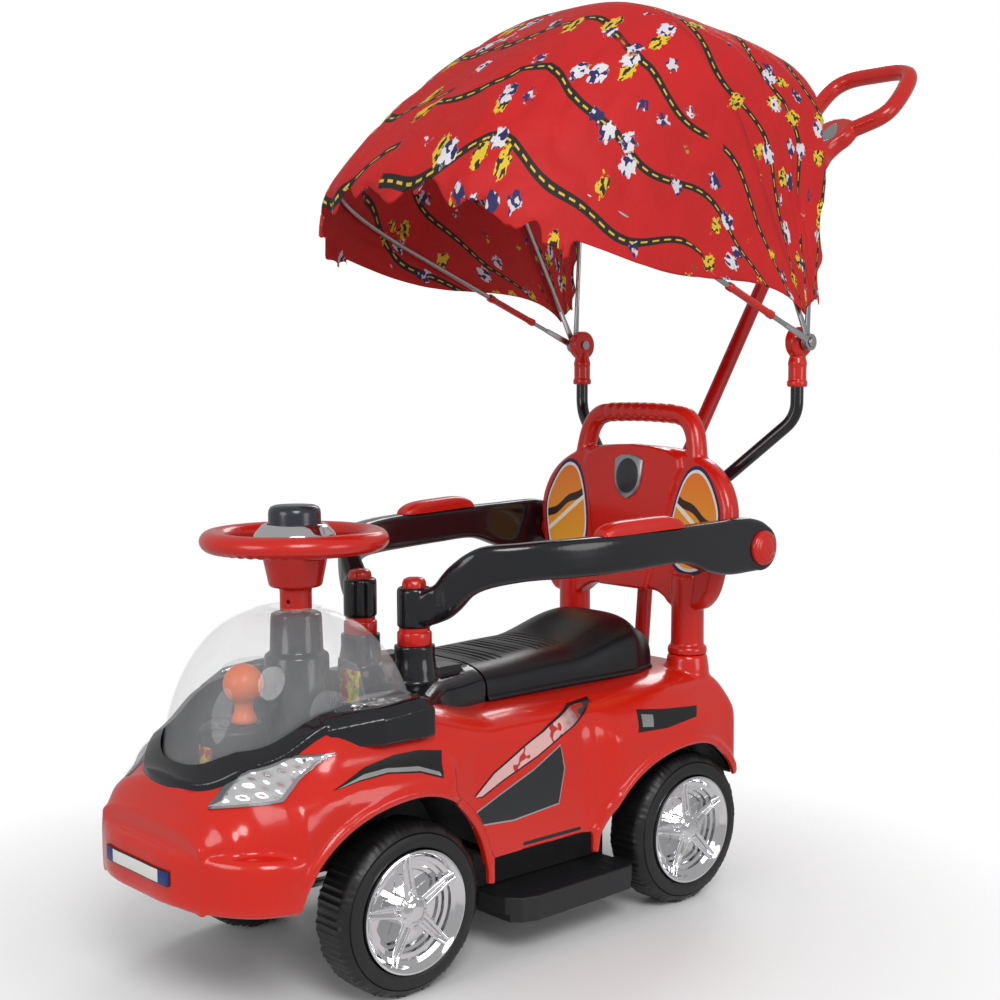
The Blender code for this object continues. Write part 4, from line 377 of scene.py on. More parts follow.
def sweep(points, section, closed=False, up=(0, 0, 1), scales=None):
    """Sweep a flat section, given as (across, up) points, along a path."""
    points = [Vector(p) for p in points]
    rings, normal = [], None
    for i, point in enumerate(points):
        if closed:
            heading = points[(i + 1) % len(points)] - points[i - 1]
        else:
            heading = points[min(i + 1, len(points) - 1)] - points[max(i - 1, 0)]
        heading.normalize()
        if normal is None:
            normal = Vector(up).cross(heading)
            if normal.length < 0.05:
                normal = Vector((0, 1, 0)).cross(heading)
        normal = (normal - heading * normal.dot(heading)).normalized()
        rise = heading.cross(normal)
        size = scales[i] if scales else 1.0
        rings.append([point + normal * u * size + rise * v * size for u, v in section])
    return loft(rings, closed)


def circle(radius, count, flat=1.0):
    """Round or flattened section."""
    return [(radius * math.cos(2 * math.pi * i / count), radius * flat * math.sin(2 * math.pi * i / count))
            for i in range(count)]


def curve_through(points, steps, closed=False):
    """Smooth path through chosen points."""
    points = [Vector(p) for p in points]
    count = len(points)
    path = []
    last = count if closed else count - 1
    for i in range(last):
        if closed:
            a, b, c, d = (points[(i + k) % count] for k in (-1, 0, 1, 2))
        else:
            b, c = points[i], points[i + 1]
            a = points[i - 1] if i else 2 * b - c
            d = points[i + 2] if i + 2 < count else 2 * c - b
        for step in range(steps):
            t = step / steps
            path.append(0.5 * (2 * b + (c - a) * t + (2 * a - 5 * b + 4 * c - d) * t * t
                               + (3 * b - a - 3 * c + d) * t ** 3))
    return path if closed else path + [points[-1]]


def dress(node, material, edge):
    """Smooth copy of a CAD node with rounded edges, which stands for the node."""
    source = NODES[node]
    item = link(node + "_dressed", source.data.copy())
    item.data.materials.clear()
    item.data.materials.append(MATERIALS[material])
    bm = bmesh.new()
    bm.from_mesh(item.data)
    bmesh.ops.remove_doubles(bm, verts=bm.verts, dist=WELD)
    bmesh.ops.dissolve_limit(bm, angle_limit=math.radians(0.5), verts=bm.verts, edges=bm.edges)
    bm.to_mesh(item.data)
    bm.free()
    soften(item, edge, angle=30.0)
    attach(item, source["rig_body"])
    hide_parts(node)
    return item


def boolean(item, other, operation="DIFFERENCE"):
    """Cut with, or keep what is inside, another shape given as (vertices, faces)."""
    cutter = link("cutter", new_mesh("cutter", *other))
    modify(item, "BOOLEAN", operation=operation, solver="EXACT", object=cutter)
    apply_modifiers(item)
    bpy.data.objects.remove(cutter)


def mould(item, voxel, rounds):
    """Merge overlapping shells and round their edges, as a plastic moulding has them."""
    modify(item, "REMESH", mode="VOXEL", voxel_size=voxel, use_smooth_shade=True)
    modify(item, "SMOOTH", factor=0.5, iterations=rounds)
    apply_modifiers(item)
    item.data.shade_smooth()


def gather(*shells):
    """One vertex and face list from several."""
    vertices, faces = [], []
    for some, others in shells:
        start = len(vertices)
        vertices += some
        faces += [tuple(i + start for i in face) for face in others]
    return vertices, faces


def prism(outline, low, high, axis="z"):
    """Closed solid from a flat outline."""
    place = {"x": lambda u, v, w: (w, u, v), "y": lambda u, v, w: (u, w, v),
             "z": lambda u, v, w: (u, v, w)}[axis]
    return loft([[place(u, v, w) for u, v in outline] for w in (low, high)])


def slab(low, high):
    """Box between two corners."""
    x, y, z = zip(low, high)
    return prism([(x[0], y[0]), (x[1], y[0]), (x[1], y[1]), (x[0], y[1])], *z)


WHEELBASE, TYRE_RADIUS = 0.407, 0.088
FRONT_X, REAR_X = 0.6235, -0.1115
HALF, SILL, DECK, SHOULDER = 0.15, 0.113, 0.262, 0.284
NOSE_X, HIP, BODY_WALL = 0.608, 0.175, 0.0032
POLE_X = -0.084
POST_X, POST_Y, POST_FOOT = -0.0625, 0.098, 0.2799
RAIL_PIVOT = (-0.0875, 0, 0.414)
RAIL_POST_X, RAIL_POST_Y = 0.3165, 0.0485


def hull_width(x):
    """Half-width of the body along the car."""
    return interpolate(((REAR_X, HALF - 0.052), (REAR_X + 0.008, HALF - 0.026),
                        (REAR_X + 0.028, HALF - 0.006), (0.0, HALF + 0.002), (WHEELBASE / 2, HALF),
                        (WHEELBASE, HALF + 0.003), (0.53, HALF - 0.004), (0.578, HALF - 0.03),
                        (NOSE_X, HALF - 0.054)), x)


def hull_top(x):
    """Height of the body's crown along the car."""
    return interpolate(((REAR_X, DECK - 0.03), (REAR_X + 0.012, DECK - 0.008),
                        (REAR_X + 0.04, DECK + 0.004), (0.0, DECK + 0.003), (0.1, DECK),
                        (0.27, DECK + 0.002), (0.36, SHOULDER), (0.47, SHOULDER), (0.545, SHOULDER - 0.022),
                        (0.59, SHOULDER - 0.06), (NOSE_X, SHOULDER - 0.092)), x)


def roundness(x):
    """Exponent of the cross-section: square at the doors, round at the nose."""
    return 0.435 + 0.56 * smoothstep(NOSE_X - 0.135, NOSE_X - 0.05, x)


def fender(x):
    """1 beside the wheels and 0 at the door."""
    front = smoothstep(0.343, 0.358, x) * (1 - smoothstep(0.53, 0.565, x))
    return front + smoothstep(REAR_X, REAR_X + 0.035, x) * (1 - smoothstep(0.118, 0.142, x))


def flare(x, z):
    """How far the fenders stand out at one place and height."""
    return 0.013 * fender(x) * (1 - smoothstep(0.212, 0.244, z))


def hull_side(x, z):
    """Half-width of the body at one place and height."""
    power, width, top = roundness(x), hull_width(x), hull_top(x)
    share = min(max((z - HIP) / (top - HIP), 0.0), 1.0)
    sine = share ** (1 / power)
    y = width * math.sqrt(max(1 - sine * sine, 0.0)) ** power
    return y + flare(x, z)


def hull(inset=0.0, floor=SILL, count=22):
    """Body hull at full smoothness."""
    places = (spread(REAR_X, REAR_X + 0.04, 9)[:-1] + spread(REAR_X + 0.04, 0.56, 66)[:-1]
              + spread(0.56, NOSE_X, 12))
    rings = []
    for i, x in enumerate(places):
        power, width, top = roundness(x), hull_width(x) - inset, hull_top(x) - inset
        half = [(width, floor), (width, (floor + HIP) * 0.5)]
        for k in range(count + 1):
            angle = math.pi / 2 * k / count
            half.append((width * math.cos(angle) ** power if k < count else 0.0,
                         HIP + (top - HIP) * math.sin(angle) ** power))
        ring = []
        for y, z in half:
            ring.append((y + (flare(x, z) + door_crease(x, z) if y > 0.05 else 0.0), z))
        place = x + (inset if i == 0 else -inset if i == len(places) - 1 else 0)
        rings.append([(place, y, z) for y, z in ring] + [(place, -y, z) for y, z in reversed(ring[:-1])])
    return loft(rings)


def door_crease(x, z):
    """Shallow relief of the door panel between the wheels."""
    inside = smoothstep(0.15, 0.158, x) * (1 - smoothstep(0.322, 0.332, x))
    return -0.003 * inside * smoothstep(0.236, 0.228, z) if z < 0.24 else 0.0


def arch_outline(centre, rear, front, top, grow=0.0, floor=-0.02, count=41):
    """Wheel arch seen from the side, open at the floor."""
    points = []
    for angle in spread(180, 0, count):
        reach = (rear if angle > 90 else front) + grow
        height = TYRE_RADIUS + (top - TYRE_RADIUS + grow) * math.sin(math.radians(angle))
        points.append((centre + reach * math.cos(math.radians(angle)), height))
    return [(points[0][0], floor)] + points + [(points[-1][0], floor)]


ARCHES = ((WHEELBASE, 0.104, 0.136, 0.204), (0.0, 0.096, 0.14, 0.19))


def bumper_outline(inset=0.0):
    """Bumper seen from above."""
    side, nose = 0.16 - inset, FRONT_X - 0.0023 - inset
    points = [(0.52, side), (0.545, side - 0.001), (0.572, side - 0.012), (0.592, side - 0.034),
              (0.607, side - 0.064), (nose - 0.003, side - 0.096), (nose, side - 0.122), (nose, 0.012)]
    points = [Vector((x, y, 0)) for x, y in points]
    curve = curve_through(points + [Vector((p.x, -p.y, 0)) for p in reversed(points)], 4)
    return [(p.x, p.y) for p in curve]


def bezel_outline(inset=0.0, count=24):
    """Dash bezel seen from above."""
    centre, side = 0.415, 0.126 - inset
    reach = 0.594 - inset - centre
    half = [(0.328 + inset, side * 0.66), (0.34, side * 0.78), (0.352, side * 0.86), (0.367, side * 0.925),
            (0.382, side * 0.97)]
    for angle in spread(90, 0, count):
        c, s = math.cos(math.radians(angle)), math.sin(math.radians(angle))
        half.append((centre + reach * abs(c) ** 0.86, side * abs(s) ** 0.86))
    return half + [(x, -y) for x, y in reversed(half) if y > 1e-6]


def arch_lip(centre, rear, front, top, side):
    """Raised rim round one wheel arch."""
    path = []
    for x, z in arch_outline(centre, rear, front, top, 0.0045, SILL + 0.004, 37):
        path.append((x, side * (hull_side(x, max(z, SILL)) - 0.0012), z))
    return sweep(path, circle(0.0052, 8))


def drop_crumbs(item, size):
    """Delete loose scraps smaller than a size that the cuts left behind."""
    bm = bmesh.new()
    bm.from_mesh(item.data)
    left = set(bm.verts)
    scraps = []
    while left:
        island, edge = [], [left.pop()]
        while edge:
            vertex = edge.pop()
            island.append(vertex)
            for other in (e.other_vert(vertex) for e in vertex.link_edges):
                if other in left:
                    left.remove(other)
                    edge.append(other)
        spans = [max(v.co[i] for v in island) - min(v.co[i] for v in island) for i in range(3)]
        if max(spans) < size:
            scraps += island
    bmesh.ops.delete(bm, geom=scraps, context="VERTS")
    bm.to_mesh(item.data)
    bm.free()


def make_body():
    """Glossy red body: hull, bumper, arch rims and collars in one moulding."""
    shells = [hull()]
    levels = ((0.1155, 0.006), (0.1185, 0.001), (0.124, 0.0), (0.152, 0.0), (0.163, 0.0012),
              (0.1685, 0.005), (0.1705, 0.012))
    shells.append(loft([[(x, y, z) for x, y in bumper_outline(inset)] for z, inset in levels]))
    for side in (1, -1):
        shells += [arch_lip(*arch, side) for arch in ARCHES]
        collar = [(0, 0.235), (0.0275, 0.235), (0.0265, 0.262), (0.0245, 0.276), (0.0225, 0.2802),
                  (0, 0.2802)]
        shells.append(turned(collar, (POST_X, side * POST_Y, 0), "z", 32))
    body = new_object("body_moulding", *gather(*shells), "body_red", "car_body", "red")
    mould(body, 0.0022, 3)
    boolean(body, hull(BODY_WALL, SILL - 0.05))
    boolean(body, loft([[(x, y, z) for x, y in bumper_outline(0.005)] for z in (0.1, 0.162)]))
    for centre, rear, front, top in ARCHES:
        for side in (1, -1):
            low, high = sorted((side * 0.09, side * 0.2))
            boolean(body, prism(arch_outline(centre, rear, front, top), low, high, "y"))
    boolean(body, slab((REAR_X - 0.05, -0.2, 0.0), (-0.02, 0.2, 0.137)))
    boolean(body, prism(bezel_outline(0.0085), 0.19, 0.4))
    boolean(body, slab((0.0096, -0.0624, 0.24), (0.2154, 0.0624, 0.3)))
    boolean(body, rod(0.01, 0.232, 0.292, (POLE_X, 0, 0), "z", 24))
    for side in (1, -1):
        boolean(body, rod(0.03, POST_FOOT, 0.3, (POST_X, side * POST_Y, 0), "z", 24))
    drop_crumbs(body, 0.03)
    soften(body, 0.0, shade=38)
    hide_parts("body_shell")


def offset_hull(inset):
    """Body hull moved inward, with its sides carried down."""
    return hull(inset, 0.08)


BAND = 0.017
COLUMN_X = 0.4335
COLUMN = (COLUMN_X, 0, 0)


def seat_ring(side, top, base, count=16):
    """Half-round section shared by the seat and the cover in front of it."""
    power = 2 / 3.4
    points = [(side, base)]
    for i in range(count + 1):
        angle = math.pi / 2 * i / count
        points.append((side * math.cos(angle) ** power if i < count else 0.0,
                       base + 0.008 + (top - base - 0.008) * math.sin(angle) ** power))
    return points + [(-y, z) for y, z in reversed(points[:-1])]


def cover_shell():
    """Crowned cover from behind the dome back to the seat's seam."""
    rings = []
    for x in spread(0.2455, 0.358, 22):
        top = interpolate(((0.2435, 0.302), (0.3, 0.298), (0.358, 0.29)), x)
        side = interpolate(((0.2435, 0.083), (0.3, 0.089), (0.358, 0.112)), x)
        rings.append([(x, y, z) for y, z in seat_ring(side, top, DECK - 0.003)])
    return loft(rings)


def pod_shell(side):
    """Raised pod under one indicator."""
    inner, outer = 0.098, 0.153
    rings = []
    for x, top, out in ((0.372, 0.294, outer), (0.384, 0.298, outer + 0.001), (0.435, 0.294, outer),
                        (0.48, 0.285, inner + 0.026)):
        rings.append([(x, side * y, z) for y, z in ((inner, 0.254), (out, 0.258), (out, top - 0.01),
                                                    (out - 0.01, top), (inner, top + 0.002))])
    return loft(rings)


def make_dash():
    """Black dash moulding with the bezel, rear cover, pods and post bosses."""
    bezel = new_object("bezel", *prism(bezel_outline(), 0.21, 0.4), "black_gloss", "car_body")
    boolean(bezel, offset_hull(-0.007), "INTERSECT")
    placed = [tuple(v.co - Vector((SHIFT, 0, 0))) for v in bezel.data.vertices]
    shells = [(placed, [tuple(p.vertices) for p in bezel.data.polygons]), cover_shell()]
    bpy.data.objects.remove(bezel)
    for side in (1, -1):
        shells.append(pod_shell(side))
        boss = [(0, 0.27), (0.0275, 0.27), (0.026, 0.285), (0.0235, 0.306), (0.0218, 0.3165),
                (0.0218, 0.33), (0, 0.33)]
        y = side * RAIL_POST_Y
        shells.append(turned(boss, (RAIL_POST_X, y, 0), "z", 40))
        shells.append(slab((0.262, y - 0.014, 0.28), (0.312, y + 0.014, 0.304)))
    dash = new_object("dash_moulding", *gather(*shells), "black_gloss", "car_body", "black")
    mould(dash, 0.0016, 2)
    boolean(dash, prism(bezel_outline(BAND), 0.2133, 0.43))
    boolean(dash, prism(bezel_outline(0.0088), 0.18, 0.2095))
    for side in (1, -1):
        outline = [(0.384, 0.129), (0.395, 0.138), (0.42, 0.138), (0.45, 0.12), (0.43, 0.112),
                   (0.388, 0.114)]
        boolean(dash, prism([(x, side * y) for x, y in outline], 0.2925, 0.32))
    soften(dash, 0.0, shade=40)
    floor = new_object("dash_floor", *prism(bezel_outline(0.012), 0.2092, 0.2131), "black_plastic",
                       "car_body")
    tower = [(0, 0.212), (0.041, 0.212), (0.039, 0.216), (0.035, 0.232), (0.034, 0.25), (0.0335, 0.326),
             (0.0325, 0.3285), (0.0288, 0.331), (0.0276, 0.333), (0.0265, 0.366), (0.0258, 0.3705),
             (0.0235, 0.372), (0, 0.372)]
    column = new_object("dash_tower", *turned(tower, COLUMN, "z", 56), "black_gloss", "car_body")
    soften(column, 0.0, shade=35)
    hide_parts("dash_trim")
    for item in (floor, column):
        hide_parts("dash_trim")
    make_dash_plates()


def make_dash_plates():
    """Two fins beside the tower with plain coloured patches."""
    outline = ((0.008, 0.2128), (0.066, 0.2128), (0.062, 0.29), (0.052, 0.314), (0.046, 0.318),
               (0.018, 0.322))
    for name, side in SIDES:
        shell = prism([(side * y, z) for y, z in outline], 0.3915, 0.3945, "x")
        item = new_object("dash_fin_" + name, *shell, "fin_print", "car_body")
        soften(item, 0.0008)
        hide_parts("dash_trim")


def dome_rings(shrink, count=34):
    """Rings from the dome's rim up to its opening."""
    outline = bezel_outline(BAND + 0.0003 + shrink, 30)
    top, crown_x, base = 0.381 - shrink, COLUMN_X + 0.012, 0.2133
    rings = []
    for i in range(count):
        angle = math.pi / 2 * i / (count - 1)
        scale = math.cos(angle) ** 0.8 if i < count - 1 else 0.0
        scale = max(scale, 0.262)
        height = base + (top - base) * math.sin(angle)
        rings.append([(crown_x + (x - crown_x) * scale, y * scale, height) for x, y in outline])
        if scale == 0.262:
            break
    return rings


def make_dome(sizes):
    """Clear dome, open below and at the steering column."""
    outer, inner = dome_rings(0.0), dome_rings(sizes.dome_wall)
    for ring, shrink in ((outer, 0.0), (inner, sizes.dome_wall)):
        angles = [math.atan2(y, x - COLUMN_X) for x, y, z in ring[-1]]
        ring.append([(COLUMN_X + 0.0285 * math.cos(a), 0.0285 * math.sin(a), 0.3795 - shrink)
                     for a in angles])
    rings = outer + list(reversed(inner))
    shell = loft(rings, closed=True)
    dome = new_object("clear_dome", *shell, "clear_dome", "car_body", "clear")
    soften(dome, 0.0, shade=50)
    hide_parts("dome")


def hull_patch(name, outline, inset, material, side, thickness=0.0008, slot=None):
    """Thin piece that follows the body's side inside an outline given in X and Z."""
    low, high = sorted((side * 0.05, side * 0.21))
    item = new_object(name, *prism(outline, low, high, "y"), material, "car_body", slot)
    boolean(item, offset_hull(inset), "INTERSECT")
    boolean(item, offset_hull(inset + thickness))
    return item


HEADLIGHT = ((0.5888, 0.2109), (0.578, 0.2187), (0.5659, 0.2311), (0.5555, 0.2421), (0.5441, 0.2498),
             (0.5266, 0.2524), (0.5075, 0.2556), (0.4832, 0.2574), (0.499, 0.2496), (0.5086, 0.243),
             (0.5205, 0.2353), (0.5326, 0.2269), (0.5421, 0.2193), (0.554, 0.2158), (0.5704, 0.2127))


def shrunk(outline, reach):
    """Outline moved inward by about a distance."""
    count = len(outline)
    middle = Vector((sum(x for x, z in outline) / count, sum(z for x, z in outline) / count))
    result = []
    for i, (x, z) in enumerate(outline):
        before, after = Vector(outline[i - 1]), Vector(outline[(i + 1) % count])
        heading = (after - before).normalized()
        normal = Vector((-heading.y, heading.x))
        if normal.dot(middle - Vector((x, z))) < 0:
            normal = -normal
        result.append((x + normal.x * reach, z + normal.y * reach))
    return result


def make_headlights():
    """Chrome reflector, dark screw and clear lens at each front corner."""
    for name, side in SIDES:
        frame_ring = hull_patch("lamp_frame_" + name, HEADLIGHT, -0.0016, "lamp_frame", side, 0.0012)
        reflector = hull_patch("lamp_reflector_" + name, shrunk(HEADLIGHT, 0.0022), -0.0019, "reflector",
                               side, 0.0004)
        lens = hull_patch("lamp_lens_" + name, shrunk(HEADLIGHT, 0.001), -0.0044, "lamp_lens", side, 0.0014,
                          "clear")
        cut_bezel = prism(bezel_outline(-0.0006), 0.18, 0.42)
        for item in (frame_ring, reflector, lens):
            boolean(item, cut_bezel)
            soften(item, 0.0, shade=30)
        soften(lens, 0.0006, 2, 40, 40)
        place = Vector((0.508, 0, 0.25))
        y = side * (hull_side(place.x, place.z) - 0.001)
        head = [(0, 0.0), (0.0024, 0.0), (0.0024, 0.0032), (0.0016, 0.0036), (0.001, 0.003), (0, 0.003)]
        screw = new_object("lamp_screw_" + name, *turned(head, (place.x, y, place.z), "y", 16, side),
                           "dark_matt", "car_body")
        soften(screw, 0.0)
        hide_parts("headlight_" + name)
        make_indicator(name, side)


def make_indicator(name, side):
    """Bright reflector and clear lens on each pod."""
    outline = [(0.3835, 0.1285), (0.3935, 0.1395), (0.4205, 0.1395), (0.4515, 0.119), (0.431, 0.1105),
               (0.3865, 0.113)]
    outline = [(x, side * y) for x, y in outline]
    middle = (0.415, side * 0.124)

    def scaled(share):
        """Lens outline about its middle."""
        return [(middle[0] + (x - middle[0]) * share, middle[1] + (y - middle[1]) * share)
                for x, y in outline]

    dish = loft([[(x, y, z) for x, y in scaled(share)]
                 for share, z in ((1.0, 0.2915), (0.985, 0.2952), (0.72, 0.293), (0.7, 0.2928))])
    item = new_object("indicator_dish_" + name, *dish, "reflector", "car_body")
    soften(item, 0.0, shade=20)
    lens = loft([[(x, y, z) for x, y in scaled(share)]
                 for share, z in ((0.99, 0.2938), (0.99, 0.2995), (0.93, 0.3018), (0.66, 0.3034),
                                  (0.25, 0.3038))])
    glass = new_object("indicator_lens_" + name, *lens, "lamp_lens", "car_body", "clear")
    soften(glass, 0.0007, 2, 25, 40)
    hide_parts("indicator_" + name)


def make_number_strip():
    """Bare strip with blue ends that follows the bumper's nose."""
    def outline(inset, reach):
        """Bumper's curve as far as the strip reaches."""
        side, nose = 0.16 - inset, FRONT_X - 0.0023 - inset
        points = [(0.607, side - 0.064), (nose - 0.003, side - 0.096), (nose, side - 0.122), (nose, 0.012)]
        points = [Vector((x, y, 0)) for x, y in points]
        curve = curve_through(points + [Vector((p.x, -p.y, 0)) for p in reversed(points)], 8)
        return [(p.x, p.y) for p in curve if abs(p.y) <= reach]

    outer, inner = outline(-0.0022, 0.0625), outline(-0.0003, 0.0625)
    plan = outer + list(reversed(inner))
    strip = new_object("number_strip", *prism(plan, 0.1375, 0.1525), "strip_print", "car_body")
    soften(strip, 0.0005)
    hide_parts("number_plate")


def make_wheels():
    """Ribbed tyres with sidewall ring and lugs, and chrome five-spoke caps."""
    for place, x in (("front", WHEELBASE), ("rear", 0.0)):
        for name, side in SIDES:
            body = f"wheel_{place}_{name}"
            centre = Vector((x, side * 0.135, TYRE_RADIUS))
            make_tyre(f"{place}_{name}", centre, side, body)
            make_cap(f"{place}_{name}", centre, side, body)


def make_tyre(name, centre, side, body, segments=216):
    """Tyre with ribs and lugs on its tread and a ring on its outer wall."""
    half, rim = 0.028, 0.0628
    profile = [(0.056, -0.006), (rim, -half + 0.004), (rim + 0.002, -half), (0.07, -half),
               (0.0765, -half + 0.0008), (0.0825, -half + 0.005), (0.0862, -half + 0.01), (0.0872, -0.014),
               (0.0872, 0.014), (0.0862, half - 0.01), (0.0825, half - 0.005), (0.079, half - 0.0022),
               (0.0782, half - 0.003), (0.0774, half - 0.0012), (0.0735, half - 0.0002), (0.069, half),
               (rim + 0.003, half - 0.0002), (rim + 0.001, half - 0.0015), (rim, half - 0.006),
               (0.056, 0.006)]
    rings = []
    for i in range(segments):
        turn = 2 * math.pi * i / segments
        ring = []
        for r, a in profile:
            tread = smoothstep(0.0795, 0.0862, r)
            rib = 0.0008 * (1 if i % 3 == 0 else -0.6) * tread
            lug = 0.0011 * (1 if (i // 6) % 2 else -0.4) * smoothstep(0.0815, 0.084, r) * (abs(a) > 0.015)
            reach = r + rib + lug
            ring.append(centre + Vector((reach * math.sin(turn), side * a, reach * math.cos(turn))))
        rings.append(ring)
    tyre = new_object("tyre_" + name + "_smooth", *loft(rings, True), "tyre_black", body, "tyre")
    soften(tyre, 0.0, shade=42)
    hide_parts("tyre_" + name)


def make_cap(name, centre, side, body):
    """Dished cap: bright rim and stepped well, with its spokes."""
    face, floor = 0.0303, 0.009
    profile = [(0.0, floor), (0.03, floor), (0.0385, floor + 0.0015), (0.04, floor + 0.0045),
               (0.0435, floor + 0.0052), (0.0445, floor + 0.0085), (0.049, floor + 0.0092),
               (0.05, floor + 0.0125), (0.0545, floor + 0.0145), (0.056, face - 0.0048),
               (0.058, face - 0.0018), (0.06, face), (0.062, face - 0.0006), (0.0625, face - 0.003),
               (0.0625, 0.0065), (0.0, 0.0065)]
    dish = new_object("cap_" + name + "_smooth", *turned(profile, centre, "y", 96, side),
                      "chrome", body, "chrome")
    soften(dish, 0.0, shade=28)
    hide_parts("hubcap_" + name)
    make_spokes(name, centre, side, body, face, floor)


def make_spokes(name, centre, side, body, face, floor):
    """Five split spokes with webs and studs round the hub."""
    shells = []
    hub = [(0, floor), (0.0185, floor), (0.018, face - 0.0085), (0.0165, face - 0.006),
           (0.012, face - 0.0045), (0.0095, face - 0.002), (0.006, face - 0.001), (0, face - 0.0008)]
    shells.append(turned(hub, centre, "y", 48, side))
    for i in range(5):
        turn = Matrix.Rotation(2 * math.pi * (i + 0.12) / 5, 4, "Y")
        for arm in (-1, 1):
            bar = []
            for reach, middle, width, height in ((0.01, 0.0052, 0.0036, face - 0.005),
                                                 (0.03, 0.0046, 0.0029, face - 0.0062),
                                                 (0.046, 0.0036, 0.0026, face - 0.0058),
                                                 (0.0572, 0.0026, 0.0026, face - 0.0022)):
                section = ((-width, floor), (width, floor), (width * 0.75, height - 0.001),
                           (width * 0.35, height), (-width * 0.35, height), (-width * 0.75, height - 0.001))
                bar.append([centre + turn @ Vector((arm * middle + u, side * v, reach))
                            for u, v in section])
            shells.append(loft(bar))
        web = [[centre + turn @ Vector((u, side * v, reach)) for u, v in
                ((-0.0045, floor), (0.0045, floor), (0.0045, height), (-0.0045, height))]
               for reach, height in ((0.012, face - 0.0105), (0.053, face - 0.0095))]
        shells.append(loft(web))
        stud = turned([(0, floor), (0.0021, floor), (0.0021, face - 0.0042), (0, face - 0.0038)], (0, 0, 0),
                      "y", 12)
        angle = 2 * math.pi * (i + 0.62) / 5
        offset = centre + Vector((0.0125 * math.sin(angle), 0, 0.0125 * math.cos(angle)))
        shells.append(([offset + Vector((v[0], side * v[1], v[2])) for v in stud[0]], stud[1]))
    spokes = new_object("spokes_" + name, *gather(*shells), "chrome", body, "chrome")
    mould(spokes, 0.0007, 2)
    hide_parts("hubcap_" + name)


def make_steering():
    """Wheel with finger ribs, cone hub, bright plate and horn button."""
    make_steering_ring()
    make_steering_hub()
    make_horn_plate()
    make_horn_button()


def make_steering_ring():
    """Ring of the wheel with finger ribs between the spokes."""
    ring_z, ring_radius, tube_radius = 0.4475, 0.0845, 0.0125
    rings = []
    for i in range(288):
        turn = 2 * math.pi * i / 288
        spoke = max(math.cos(turn - math.radians(a)) for a in (90, 210, 330))
        grip = 1 - smoothstep(0.8, 0.9, spoke)
        ripple = 0.5 + 0.5 * math.cos(turn * 48)
        ring = []
        for k in range(20):
            t = 2 * math.pi * k / 20
            low = max(-math.sin(t + 0.5), 0.0)
            size = tube_radius * (1 - 0.13 * grip * ripple * low)
            reach = ring_radius + size * math.cos(t)
            ring.append((COLUMN_X + reach * math.cos(turn), reach * math.sin(turn),
                         ring_z + 0.9 * size * math.sin(t)))
        rings.append(ring)
    grip_ring = new_object("steering_ring", *loft(rings, True), "red_plastic", "steering", "red")
    grip_ring.data.shade_smooth()
    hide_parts("steering_wheel")


def make_steering_hub():
    """Cone hub with three flat spokes and a small hole in its neck."""
    hub = [(0, 0.374), (0.016, 0.374), (0.0165, 0.3755), (0.0165, 0.3955), (0.0185, 0.3985),
           (0.0255, 0.399), (0.0275, 0.401), (0.0335, 0.43), (0.0375, 0.4395), (0.0385, 0.443),
           (0.0375, 0.4465), (0.029, 0.4468), (0.0285, 0.446), (0.0285, 0.43), (0, 0.43)]
    shells = [turned(hub, COLUMN, "z", 72)]
    for angle in (90, 210, 330):
        heading = Vector((math.cos(math.radians(angle)), math.sin(math.radians(angle)), 0))
        path = [Vector((COLUMN_X, 0, z)) + heading * reach
                for reach, z in ((0.031, 0.4345), (0.045, 0.4365), (0.06, 0.4405), (0.074, 0.4448),
                                 (0.0845, 0.4475))]
        shells.append(sweep(curve_through(path, 4), circle(0.0145, 20, 0.42)))
    centre = new_object("steering_hub", *gather(*shells), "red_plastic", "steering", "red")
    mould(centre, 0.0011, 3)
    facing = Vector((math.cos(math.radians(28)), math.sin(math.radians(28)), 0))
    hole = [Vector((COLUMN_X, 0, 0.3845)) + facing * d for d in (0.008, 0.03)]
    boolean(centre, sweep(hole, circle(0.0024, 16)))
    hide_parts("steering_wheel")


def make_horn_plate():
    """Bright lobed plate round the horn button."""
    rings = []
    for r, z in ((0.0285, 0.4473), (0.0375, 0.4473), (0.0405, 0.4476), (0.0412, 0.4495), (0.0402, 0.453),
                 (0.0385, 0.456), (0.0352, 0.4608), (0.0335, 0.4632), (0.031, 0.4643), (0.0285, 0.4638)):
        ring = []
        for i in range(120):
            turn = 2 * math.pi * i / 120
            lobe = 1 + 0.055 * smoothstep(0.034, 0.04, r) * (0.5 - 0.5 * math.cos(turn * 6))
            ring.append((COLUMN_X + r * lobe * math.cos(turn), r * lobe * math.sin(turn), z))
        rings.append(ring)
    plate = new_object("horn_plate", *loft(rings, True), "chrome", "steering", "chrome")
    soften(plate, 0.0, shade=35)
    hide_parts("steering_trim")


def make_horn_button():
    """Grey button with a ring groove."""
    button = [(0, 0.4412), (0.027, 0.4412), (0.027, 0.4745), (0.0264, 0.4785), (0.0245, 0.4815),
              (0.0215, 0.4829), (0.0198, 0.4824), (0.0188, 0.4819), (0.017, 0.483), (0.009, 0.4837),
              (0, 0.4839)]
    cap = new_object("horn_cap", *turned(button, COLUMN, "z", 64), "horn_grey", "horn")
    soften(cap, 0.0, shade=35)
    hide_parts("horn_button")


TOY_X = 0.511


